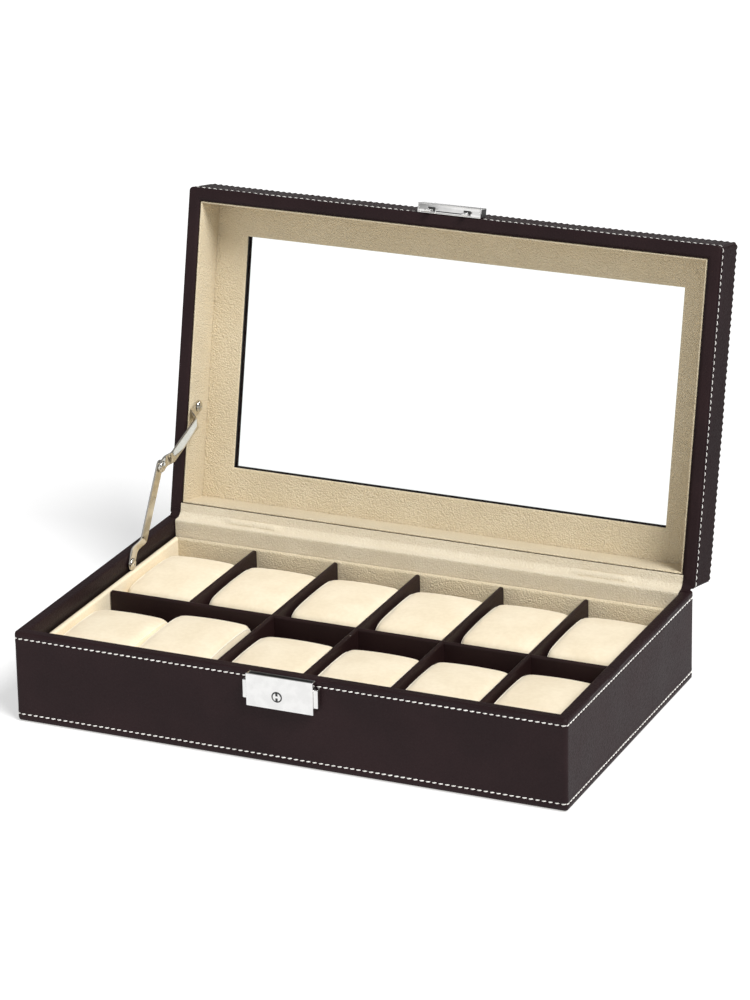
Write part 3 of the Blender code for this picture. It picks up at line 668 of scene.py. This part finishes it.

# -------------------- pillows
# Twelve stuffed pillows for the watches: a band of suede round a foam core, closed at both sides
# by flat panels, with a fine piping where they meet, painted paler as a highlight. They are puffed
# up as cloth.

pillow_suede = suede("pillow_suede", (0.905, 0.795, 0.60), 2.6 * MM, 0.10 * MM, 0.35)
# The piping's paler suede is a painted highlight along the raised seam.
piping_highlight_suede = suede("piping_highlight_suede", (0.95, 0.88, 0.73), 2.6 * MM, 0.05 * MM, 0.35)
PILLOW_DOME = 1.6 * MM
PILLOW_ROUND = 8 * MM
PILLOW_FOOT = 6 * MM
SIDE_DRAW = 1.7 * MM
PUFF_LIMIT = 0.9 * MM
PUFF_FRAMES = 15
SEAM_IN = 1.3 * MM
PIPING_R = 0.5 * MM
PIPING_SINK = 0.12 * MM


def pillow_ring(half_y, half_z):
    """The section in the YZ plane: a top that falls as the square of the distance from the
    middle, big rounds at its ends, upright ends, and small rounds under them."""
    flat = half_y - PILLOW_ROUND
    t = np.linspace(1, -1, 13)
    crown = half_z + 0.7 * MM
    top = np.stack([t * flat, crown - PILLOW_DOME * t ** 2], -1)
    bend = arc_points((-flat, top[-1, 1] - PILLOW_ROUND), PILLOW_ROUND, 90, 180, 7)[1:]
    foot_y, foot_z = PILLOW_FOOT - half_y, PILLOW_FOOT - half_z
    wall = [(-half_y, z) for z in np.linspace(bend[-1, 1], foot_z, 5)[1:-1]]
    foot = arc_points((foot_y, foot_z), PILLOW_FOOT, 180, 270, 4)
    underside = [(y, -half_z) for y in np.linspace(foot_y, -foot_y, 9)[1:-1]]
    side = np.concatenate([bend, wall, foot])
    return np.concatenate([top, side, underside, (side * (-1, 1))[::-1]])


def pillow_form(low, high):
    """The section carried across X and drawn in at both sides, with a crown of 1 - t squared."""
    middle, half = centre_and_half(low, high)
    t = np.concatenate([[-1, -0.985, -0.94], np.linspace(-0.85, 0.85, 9), [0.94, 0.985, 1]])
    draw = SIDE_DRAW * np.clip((np.abs(t) - 0.85) / 0.15, 0, 1) ** 2.2 + 0.2 * MM
    grid = []
    for share, inward in zip(t, draw):
        ring = pillow_ring(half[1], half[2]) * (1 - inward / half[1:])
        lift = 1.3 * MM * (1 - share ** 2) - 0.6 * MM
        z = ring[:, 1] + lift * np.clip(ring[:, 1] / half[2], 0, 1)
        x = np.full(len(ring), share * half[0])
        grid.append(np.stack([x + middle[0], ring[:, 0] + middle[1], z + middle[2]], -1))
    return np.array(grid)


def apply(piece, modifier):
    """Apply a modifier to its piece."""
    with bpy.context.temp_override(object=piece, active_object=piece):
        bpy.ops.object.modifier_apply(modifier=modifier.name)


def vertex_places(mesh):
    """The vertices of a mesh as rows of coordinates."""
    places = np.zeros(len(mesh.vertices) * 3, np.float32)
    mesh.vertices.foreach_get("co", places)
    return places.reshape(-1, 3)


def puff(piece, seed):
    """Swell a pillow as cloth under pressure, holding its underside and limiting the travel."""
    scene = bpy.context.scene
    bpy.context.view_layer.objects.active = piece
    remesh = piece.modifiers.new("even", "REMESH")
    remesh.mode = "VOXEL"
    remesh.voxel_size = 3.2 * MM
    remesh.use_smooth_shade = True
    apply(piece, remesh)
    before = vertex_places(piece.data)
    random = np.random.default_rng(seed)
    held = before[:, 2] < before[:, 2].min() + 3 * MM
    group = piece.vertex_groups.new(name="held")
    group.add(np.flatnonzero(held).tolist(), 1.0, "REPLACE")
    cloth = piece.modifiers.new("cloth", "CLOTH")
    cloth.settings.vertex_group_mass = "held"
    cloth.settings.use_pressure = True
    cloth.settings.uniform_pressure_force = 3.0 + random.uniform(-0.4, 0.4)
    cloth.settings.quality = 4
    cloth.settings.tension_stiffness = 25
    cloth.settings.compression_stiffness = 25
    cloth.settings.effector_weights.gravity = 0
    for step in range(PUFF_FRAMES):
        scene.frame_set(step + 1)
    apply(piece, cloth)
    scene.frame_set(1)
    move = vertex_places(piece.data) - before
    reach = np.linalg.norm(move, axis=1, keepdims=True)
    move *= np.minimum(1, PUFF_LIMIT / np.maximum(reach, 1e-9))
    piece.data.vertices.foreach_set("co", (before + move).ravel())
    piece.vertex_groups.clear()


def piping(name, piece, low, high, side):
    """A thin cord round one side of a pillow: a closed ring pressed onto its surface."""
    middle, half = centre_and_half(low, high)
    ring = pillow_ring(half[1], half[2])
    x = middle[0] + side * (half[0] - SEAM_IN)
    tree = BVHTree.FromObject(piece, bpy.context.evaluated_depsgraph_get())
    line = []
    for y, z in ring:
        core = Vector((x, middle[1] + y * 0.6, middle[2] + z * 0.6))
        out = Vector((0, y, z)).normalized()
        hit = tree.ray_cast(core + out * 0.1, -out)[0]
        line.append(hit - out * PIPING_SINK if hit is not None else core)
    line = np.array(line)
    for _ in range(3):
        line = (np.roll(line, 1, 0) + 2 * line + np.roll(line, -1, 0)) / 4
    ahead = np.roll(line, -1, 0) - np.roll(line, 1, 0)
    ahead /= np.linalg.norm(ahead, axis=1, keepdims=True)
    across = np.array([1.0, 0, 0])
    out = np.cross(ahead, across)
    out /= np.linalg.norm(out, axis=1, keepdims=True)
    angle = np.arange(6) * np.pi / 3
    grid = (line[:, None, :] + PIPING_R * (np.cos(angle)[None, :, None] * across
            + np.sin(angle)[None, :, None] * out[:, None, :]))
    return tube_piece(name, grid, piping_highlight_suede, True)


pillows = sorted(node for node in frame["nodes"] if node.startswith("pillow_"))
for number, node in enumerate(pillows):
    low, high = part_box(node)
    form = tube_piece(node + "_stuffed", pillow_form(low, high), pillow_suede)
    puff(form, number)
    smooth = form.modifiers.new("smooth", "SUBSURF")
    smooth.levels = smooth.render_levels = 2
    apply(form, smooth)
    form.data.shade_smooth()
    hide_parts(node)
    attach(form, node + "_body")
    for side, word in ((-1, "left"), (1, "right")):
        seam = piping(f"{node}_{word}_piping", form, low, high, side)
        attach(seam, node + "_body")

# -------------------- lid lining
# Card covered in the tray's cream suede: four walls inside the lid and a flat frame round the
# window, pressed in place. Near-black paper covers the window's edge and the box's underside.

PANEL = 79.2 * MM
LINING_FOOT = 54.7 * MM
CARD = 1.0 * MM
reach = HALF - LID_WALL - 0.05 * MM
walls = {"left": ((-reach[0], -reach[1]), (-reach[0] + CARD, reach[1])),
         "right": ((reach[0] - CARD, -reach[1]), (reach[0], reach[1])),
         "front": ((-reach[0], -reach[1]), (reach[0], -reach[1] + CARD)),
         "rear": ((-reach[0], reach[1] - CARD), (reach[0], reach[1]))}
for side, (low, high) in walls.items():
    block_piece(f"lid_{side}_card", (*low, LINING_FOOT), (*high, PANEL - 0.1 * MM), 0.42 * MM,
                lining_suede, f"lid_{side}_lining", "lid",
                1 if side in ("left", "right") else 0, 3, opened)

bends = np.linspace(0, BEND, 5)
corners = np.cumsum([0, RUN[0] + BEND, RUN[1] + BEND, RUN[0] + BEND])
straight = [np.linspace(0, run, 13) for run in (RUN[0], RUN[1], RUN[0], RUN[1])]
sparse_walk = np.concatenate([start + np.concatenate([run, run[-1] + bends[1:-1]])
                              for start, run in zip(corners, straight)])
profile = np.concatenate([
    [(LID_WALL + 0.1 * MM, PANEL + 0.5 * MM), (LID_WALL + 0.1 * MM, PANEL),
     (WINDOW - 2.6 * MM, PANEL), (WINDOW - 1.3 * MM, PANEL - 0.12 * MM)],
    arc_points((WINDOW - 0.55 * MM, PANEL + 0.4 * MM), 0.55 * MM, -90, 0, 4),
    [(WINDOW, PANEL + 0.75 * MM), (WINDOW - 3 * MM, PANEL + 0.75 * MM),
     (WINDOW - 3 * MM, PANEL + 0.5 * MM)],
])
card_points = carried(sparse_walk, *spread(profile, len(sparse_walk)))
card = tube_piece("lid_panel_card", opened(card_points), lining_suede, True, 40)
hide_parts("lid_panel_lining")
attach(card, "lid")


def edge_paper():
    """Near-black covering paper with faint flecks."""
    finish = Finish("edge_paper")
    fleck = finish.noise(0.8 * MM, 3)
    colour = finish.blend(fleck, (0.006, 0.005, 0.005, 1), (0.014, 0.011, 0.010, 1))
    return finish.surface(fleck, 0.04 * MM, Base_Color=colour, Roughness=0.6 + 0.2 * fleck,
                          Specular_IOR_Level=0.2)


paper = edge_paper()
for node in ("window_trim", "lid_panel_board", "base_bottom_cover"):
    recoat(node, paper)

# -------------------- window glass
# Clear float glass: almost nothing shows but its reflections.


def clear_glass():
    """Mostly see-through, with a mirror part that grows at glancing angles."""
    finish = Finish("clear_glass")
    tree = finish.tree
    finish.surface(Base_Color=(0.9, 0.95, 0.93, 1), Roughness=0.02)
    through = tree.nodes.new("ShaderNodeBsdfTransparent")
    through.inputs["Color"].default_value = (0.97, 0.985, 0.98, 1)
    glance = finish.node("ShaderNodeFresnel", None, {"IOR": 1.45})
    both = tree.nodes.new("ShaderNodeMixShader")
    tree.links.new((glance * 0.8).socket, both.inputs[0])
    tree.links.new(through.outputs[0], both.inputs[1])
    mirror = tree.nodes.new("ShaderNodeBsdfGlossy")
    mirror.inputs["Roughness"].default_value = 0.02
    tree.links.new(mirror.outputs[0], both.inputs[2])
    tree.links.new(both.outputs[0], tree.nodes["Material Output"].inputs["Surface"])
    return finish.material


recoat("window_glass", clear_glass())

# -------------------- boards and hinges
# Fibreboard under the leather, and plain brass butt hinges under the tape.


def fibreboard():
    """Pressed wood chips in clouds of light and dark brown."""
    finish = Finish("fibreboard")
    chip = finish.noise(1.2 * MM, 4)
    colour = finish.blend(chip, (0.28, 0.19, 0.11, 1), (0.42, 0.31, 0.19, 1))
    return finish.surface(chip, 0.05 * MM, Base_Color=colour, Roughness=0.8 + 0.1 * chip)


def metal(name, colour, roughness, smudge=0.08, scratch=0.01):
    """Plated metal: faint clouds in its polish and fine wandering scratches."""
    finish = Finish(name)
    cloud = finish.noise(6 * MM, 3)
    hair = finish.noise(0.3 * MM, 2)
    dull = tuple(channel * 0.93 for channel in colour) + (1,)
    return finish.surface(
        hair, scratch * MM,
        Base_Color=finish.blend(cloud.between(0.35, 0.65), dull, (*colour, 1)),
        Roughness=roughness + smudge * cloud,
        Metallic=1.0,
    )


board = fibreboard()
brass = metal("plain_brass", (0.66, 0.50, 0.26), 0.3)
for node in frame["nodes"]:
    if node.endswith("_board") and node != "lid_panel_board":
        recoat(node, board)
    if node.endswith("_leaf"):
        recoat(node, brass)

# -------------------- hinge tape
# One strip of cream twill from inside the lid's rear rim, down into the crease over the hinges,
# across the base's rear rim and down inside it to the tray lining. Past both its ends a piece of
# case leather carries on over the rims.

twill = suede("hinge_twill", (0.765, 0.69, 0.545), 0.95 * MM, 0.58 * MM, 0.5, 0.1, 0.5)
TAPE = 0.45 * MM
TAPE_HALF = 158 * MM
CREASE = 2.3 * MM
FOOT_OF_TAPE = BAND_FOOT + 0.1 * MM
HINGE_X = 110 * MM
HINGE_HALF = 13 * MM
HINGE_FADE = 7 * MM  # the tape falls from hump to crease over this length
END_LEATHER = 0.4 * MM


def parabola(start, knee, stop, count):
    """Points between start and stop on the parabola that leaves both towards the knee."""
    t = np.linspace(0, 1, count)[1:-1, None]
    return (1 - t) ** 2 * start + 2 * t * (1 - t) * knee + t ** 2 * stop


def strip_section(x, line, thickness):
    """The closed outline at x of a strip whose middle runs along the line."""
    ahead = np.gradient(line, axis=0)
    ahead /= np.linalg.norm(ahead, axis=1, keepdims=True)
    side = np.stack([-ahead[:, 1], ahead[:, 0]], -1) * thickness / 2
    loop = np.concatenate([line + side, (line - side)[::-1]])
    return np.column_stack([np.full(len(loop), x), loop])


def tape_line(over_hinge):
    """The tape's middle in the YZ plane, from the lid's inner edge to its foot: flat on each
    rim, with a parabola between the rims that sinks towards the hinge line, or humps over the
    knuckle where there is one, and a small round at the base rim's inner edge."""
    lid_level = LID_RIM + 0.32 * MM
    on_lid = np.linspace(HALF[1] - LID_WALL + 0.3 * MM, HALF[1] - CREASE, 8)
    lid_part = opened(np.stack([np.zeros(8), on_lid, np.full(8, lid_level)], -1))[:, 1:]
    base_level = BASE_RIM - 0.32 * MM
    edge = HALF[1] - BASE_WALL + 0.1 * MM
    start, stop = lid_part[-1], np.array([HALF[1] - CREASE, base_level])
    sunk = np.array([HALF[1] - 0.5 * MM, PARTING + 0.2 * MM])
    humped = np.array([HALF[1] - 2.1 * MM, PARTING + 2.6 * MM])
    knee = sunk + (humped - sunk) * over_hinge
    crease = parabola(start, knee, stop, 9)
    base_part = np.stack([np.linspace(HALF[1] - CREASE, edge + 1.2 * MM, 5),
                          np.full(5, base_level)], -1)
    turn = arc_points((edge + 0.9 * MM, base_level - 0.9 * MM), 0.9 * MM, 90, 180, 4)
    wall = np.stack([np.full(6, edge), np.linspace(base_level - 2 * MM, FOOT_OF_TAPE, 6)], -1)
    return np.concatenate([lid_part, crease, base_part, turn, wall])


def tape_loop(x):
    """The closed outline of the tape's section at x."""
    past = (abs(abs(x) - HINGE_X) - HINGE_HALF) / HINGE_FADE
    line = tape_line(0.5 + 0.5 * math.cos(math.pi * min(max(past, 0), 1)))
    return strip_section(x, line, TAPE)


tape_grid = np.array([tape_loop(x) for x in np.linspace(-TAPE_HALF, TAPE_HALF, 200)])
tape = tube_piece("hinge_tape", tape_grid, twill, sharp=60)
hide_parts("hinge_tape_base", "hinge_tape_lid")
line = tape_line(0)
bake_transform(tape)


def gusset_loop(x):
    """The section of the leather end piece that carries on past the tape over the two rims."""
    reach = np.linspace(HALF[1] - 4.2 * MM, HALF[1] - CREASE, 4)
    lid_part = opened(np.stack([np.zeros(4), reach, np.full(4, LID_RIM - 0.1 * MM)], -1))[:, 1:]
    base_part = np.stack([reach[::-1], np.full(4, BASE_RIM + 0.1 * MM)], -1)
    knee = np.array([HALF[1] - 0.7 * MM, PARTING + 0.5 * MM])
    crease = parabola(lid_part[-1], knee, base_part[0], 7)
    return strip_section(x, np.concatenate([lid_part, crease, base_part]), END_LEATHER)


for side, word in ((-1, "left"), (1, "right")):
    ends = np.linspace(TAPE_HALF + 0.1 * MM, HALF[0] - 1.3 * MM, 8) * side
    end_piece = tube_piece(f"hinge_end_{word}", np.array([gusset_loop(x) for x in ends]),
                           case_leather, sharp=60)
    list(gusset_loop(0)[3, 1:])
    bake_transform(end_piece)

# -------------------- folding stay
# Two nickel-plated steel strips that step inwards past each other, and turn on domed rivets.

nickel = metal("nickel_plate", (0.70, 0.67, 0.61), 0.10)
STRIP = 1.2 * MM
STRIP_HALF = 3.7 * MM
EYE = 9 * MM  # a strip is flat this far round its rivet
WALL_GAP = 0.6 * MM
RIVET_SHANK = 1.6 * MM
DOME = 1.2 * MM


def strip_piece(name, node, pivot, knee, steps, body):
    """A flat bar with round ends: a rounded section carried from pivot to knee, its half width
    falling as a circle's past both ends, and its side step a smooth S."""
    pivot, knee = np.array(pivot), np.array(knee)
    length = np.linalg.norm(knee - pivot)
    ahead = (knee - pivot) / length
    across = np.array([-ahead[1], ahead[0]])
    turn = np.radians(np.linspace(87, 0, 9))
    tail = -STRIP_HALF * np.sin(turn)
    s = np.concatenate([tail, np.linspace(0.5 * MM, length - 0.5 * MM, 60), length - tail[::-1]])
    past = np.maximum(np.maximum(-s, s - length), 0)
    reach = np.sqrt(np.maximum(STRIP_HALF ** 2 - past ** 2, (0.2 * MM) ** 2))
    x = np.interp(s, *zip(*steps)) + STRIP / 2
    for _ in range(2):
        x[1:-1] = (x[:-2] + 2 * x[1:-1] + x[2:]) / 4
    grid = []
    for at, half, offset in zip(s, reach, x):
        ring = rounded_ring(half, STRIP / 2, 0.35 * MM, 2)
        flat = pivot + ahead * at + across * ring[:, :1]
        grid.append(np.column_stack([offset + ring[:, 1], flat]))
    piece = tube_piece(name, np.array(grid), nickel, sharp=40)
    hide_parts(node)
    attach(piece, body)


def turned(name, centre, profile, material, body, slot, axis=(1, 0, 0), node=None):
    """A profile of (distance along, radius) points turned about an axis through the centre."""
    sides = 28
    axis = Vector(axis)
    first = axis.orthogonal().normalized()
    second = axis.cross(first)
    angle = np.arange(sides) * 2 * np.pi / sides
    around = np.outer(np.cos(angle), first) + np.outer(np.sin(angle), second)
    profile = np.array(profile)
    grid = (np.array(centre) + profile[:, :1, None] * np.array(axis)
            + profile[:, 1:, None] * around[None])
    piece = tube_piece(name, grid, material, sharp=35)
    if node:
        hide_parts(node)
    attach(piece, body)


def rivet(name, node, body):
    """A domed rivet: a low dome with a small punch mark, and its shank towards the wall."""
    low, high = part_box(node)
    middle = (low + high) / 2
    head_r = (high.y - low.y) / 2
    flat = high.x - DOME
    dome = [(DOME * math.sin(math.radians(a)), head_r * math.cos(math.radians(a)))
            for a in (0, 12, 28, 45, 60, 72)]
    punch = [(1.12 * MM, 0.9 * MM), (0.75 * MM, 0.55 * MM), (0.7 * MM, 0.1 * MM)]
    profile = [(low.x - flat, RIVET_SHANK), (-0.02 * MM, RIVET_SHANK),
               (-0.02 * MM, head_r - 0.1 * MM)]
    turned(name, (flat, middle.y, middle.z), profile + dome + punch, nickel, body, "nickel",
           node=node)


joints = {joint["name"]: joint for joint in frame["joints"]}
base_pivot = joints["stay_base_pivot"]["pos_m"]
lid_pivot = joints["stay_lid_pivot"]["pos_m"]
wall_side = -HALF[0] + BASE_WALL + WALL_GAP
lower_main = wall_side + 4.5 * MM
upper_eye = -HALF[0] + LID_WALL + CARD + WALL_GAP
knee_side = lower_main + STRIP + 0.3 * MM
upper_main = knee_side + 2.6 * MM
KNEE = (63.1 * MM, 97.8 * MM)
lower_length = math.dist(base_pivot[1:], KNEE)
upper_length = math.dist(lid_pivot[1:], KNEE)
strip_piece("stay_lower_strip", "stay_lower_link", base_pivot[1:], KNEE,
            [(0, wall_side), (EYE, wall_side), (14 * MM, lower_main), (lower_length, lower_main)],
            "stay_lower")
strip_piece("stay_upper_strip", "stay_upper_link", lid_pivot[1:], KNEE,
            [(0, upper_eye), (EYE, upper_eye), (15 * MM, upper_main),
             (upper_length - EYE, upper_main), (upper_length - 6 * MM, knee_side),
             (upper_length, knee_side)], "stay_upper")
rivet("stay_base_dome", "stay_base_rivet", "base")
rivet("stay_lid_dome", "stay_lid_rivet", "lid")
knee_dome = [(1.3 * MM * math.sin(math.radians(a)), 3.4 * MM * math.cos(math.radians(a)))
             for a in (0, 15, 30, 48, 64, 78, 88)]
turned("stay_knee_dome", (knee_side + STRIP, *KNEE), [(-0.3 * MM, 3.3 * MM)] + knee_dome, nickel,
       "stay_upper", "nickel")
turned("stay_knee_peen", (lower_main, *KNEE),
       [(-0.3 * MM, 2.6 * MM)] + [(0.75 * along, 0.8 * out) for along, out in knee_dome], nickel,
       "stay_lower", "nickel", axis=(-1, 0, 0))

# -------------------- lock
# A pressed case of chromed sheet on the front, with a key plug in its face, two spring buttons at
# its ends and two slots in its top, over a well, for the prongs of the strike on the lid. Black
# sheets are painted shadow: in the well, the gap on the deck, the key plug's groove and keyhole,
# and round the strike's prongs, ends and underside. Its blocks are given in mm, the strike's as
# they lie with the lid shut.

chrome = metal("bright_chrome", (0.80, 0.795, 0.785), 0.06, 0.05, 0.004)
dull_steel = metal("dull_steel", (0.20, 0.20, 0.20), 0.28, 0.1, 0.01)


def shadow_black():
    """Black with a faint fleck, painted as shadow: the unlit inside of the lock and the dark
    outlines round the strike.
    """
    finish = Finish("painted_lock_shadow")
    fleck = finish.noise(0.6 * MM, 2)
    colour = finish.blend(fleck, (0.01, 0.01, 0.01, 1), (0.03, 0.03, 0.03, 1))
    return finish.surface(fleck, 0.02 * MM, Base_Color=colour, Roughness=0.5)


# Black painted shadow for the lock's well, gaps and keyhole and for the strike's outlines.
painted_shadow_black = shadow_black()


def little_block(name, low, high, radius, material, body, axis=0):
    """A rounded block, in mm, on the base, the key plug or the lid, which is then opened."""
    grid = rounded_block(np.array(low) * MM, np.array(high) * MM, radius * MM, axis, 3)
    grid = opened(grid) if body == "lid" else grid
    piece = tube_piece(name, grid, material, sharp=50)
    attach(piece, body)
    return piece


for side in ("left", "right"):
    low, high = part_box(f"lock_button_{side}")
    block_piece(f"lock_push_{side}", low, high, 0.5 * MM, chrome, f"lock_button_{side}",
                f"button_{side}", 2, 3)

FACE = -102.7
CASE_FRONT, CASE_BACK, CASE_HALF = -102.0, -98.0, 19.6
DECK_FOOT, DECK_TOP = 49.8, 50.9
plate = little_block("lock_front", (-20, FACE, 34.7), (20, FACE + 0.8, 53.8), 0.38, chrome, "base")
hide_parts("lock_case")
for name, low, high in (("middle", (-8.4, -101.6), (8.4, -98.6)),
                        ("left", (-19.2, -101.6), (-13.6, -98.6)),
                        ("right", (13.6, -101.6), (19.2, -98.6)),
                        ("front", (-19.2, CASE_FRONT), (19.2, -101.6)),
                        ("back", (-19.2, -98.6), (19.2, CASE_BACK))):
    little_block(f"lock_deck_{name}", (*low, DECK_FOOT), (*high, DECK_TOP), 0.15, dull_steel,
                 "base")
# Painted shadow: a black sheet under the deck's slots.
little_block("lock_well_shadow", (-19, -101.9, 48.2), (19, -98.1, 48.9), 0.1, painted_shadow_black, "base")
little_block("lock_back", (-CASE_HALF, -98.5, 35.2), (CASE_HALF, -97.8, 53.5), 0.2, dull_steel,
             "base")
little_block("lock_sole", (-CASE_HALF, CASE_FRONT, 34.9), (CASE_HALF, CASE_BACK, 35.6), 0.2,
             chrome, "base")
for side, word in ((-1, "left"), (1, "right")):
    low_x, high_x = sorted((19.8 * side, 19.1 * side))
    for part, foot, top in (("upper", 49.9, 53.4), ("lower", 34.9, 38.2)):
        little_block(f"lock_cheek_{word}_{part}", (low_x, CASE_FRONT, foot),
                     (high_x, CASE_BACK, top), 0.2, chrome, "base", axis=2)
# Painted shadow: a black strip in the deck under the spring.
little_block("lock_gap_shadow", (-6.5, -101.4, 50.6), (6.5, -99.9, 51), 0.1, painted_shadow_black, "base")
little_block("lock_spring", (-5.5, -100.9, 50.7), (5.5, -100.5, 51.15), 0.15, chrome, "base")

KEY = np.array([-1.5, FACE, 42.3]) * MM
# Painted shadow: a black ring round the key plug stands for its groove.
turned("lock_plug_gap_shadow", KEY, [(-0.4 * MM, 3.15 * MM), (0.03 * MM, 3.15 * MM),
                              (0.03 * MM, 0.2 * MM)],
       painted_shadow_black, "base", "chrome", axis=(0, -1, 0))
turned("lock_plug", KEY, [(-0.3 * MM, 2.4 * MM), (0.12 * MM, 2.4 * MM), (0.27 * MM, 2.25 * MM),
                          (0.27 * MM, 0.2 * MM)], chrome, "key_plug", "chrome",
       axis=(0, -1, 0), node="lock_key_plug")
# Painted shadow: black blocks stand for the keyhole.
for name, foot, top in (("upper", 42.9, 44.8), ("lower", 39.9, 41.8)):
    little_block(f"keyhole_shadow_{name}", (-2.2, FACE - 0.32, foot), (-0.8, FACE - 0.1, top), 0.05,
                 painted_shadow_black, "key_plug")

STRIKE_HALF, STRIKE_FRONT, STRIKE_BACK = 19.5, -103.5, -97.8
RIM_FOOT, RIM_TOP, RIM = 54.2, 56.0, 0.6
PRONG_X = 11.0
plate = little_block("strike_body", (-STRIKE_HALF, STRIKE_FRONT, 54.8),
                     (STRIKE_HALF, STRIKE_BACK, 63.2), 0.45, chrome, "lid")
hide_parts("lock_strike")
for name, low, high in (
        ("front", (-STRIKE_HALF, STRIKE_FRONT), (STRIKE_HALF, STRIKE_FRONT + RIM)),
        ("back", (-STRIKE_HALF, STRIKE_BACK - RIM), (STRIKE_HALF, STRIKE_BACK)),
        ("left", (-STRIKE_HALF, STRIKE_FRONT + 0.1), (RIM - STRIKE_HALF, STRIKE_BACK - 0.1)),
        ("right", (STRIKE_HALF - RIM, STRIKE_FRONT + 0.1), (STRIKE_HALF, STRIKE_BACK - 0.1))):
    little_block(f"strike_rim_{name}", (*low, RIM_FOOT), (*high, RIM_TOP), 0.2, chrome, "lid")
for side, word in ((-1, "left"), (1, "right")):
    x = PRONG_X * side
    hook_x = x + 1.2 * side
    little_block(f"strike_prong_{word}", (x - 1.5, -100.6, 49.6), (x + 1.5, -99.3, 55), 0.3, chrome,
                 "lid")
    little_block(f"strike_hook_{word}", (hook_x - 1.1, -100.9, 49.5), (hook_x + 1.1, -99.1, 50.9),
                 0.3, chrome, "lid")
    # Painted shadow: a black seat round the prong's foot.
    little_block(f"strike_seat_shadow_{word}", (x - 2.2, -101.5, 54.6), (x + 2.2, -98.8, 54.88), 0.1,
                 painted_shadow_black, "lid")
# Painted shadow: thin black slabs at the strike's two ends.
for side, word in ((-1, "left"), (1, "right")):
    low_x, high_x = sorted((19.3 * side, 19.58 * side))
    little_block(f"strike_end_shadow_{word}", (low_x, -103.0, 55.3), (high_x, -98.3, 62.7), 0.1,
                 painted_shadow_black, "lid")
# Painted shadow: a black strip on the strike's underside.
little_block("strike_seam_shadow", (-8.3, -99.5, 54.6), (8.3, -98.9, 54.86), 0.1, painted_shadow_black, "lid")
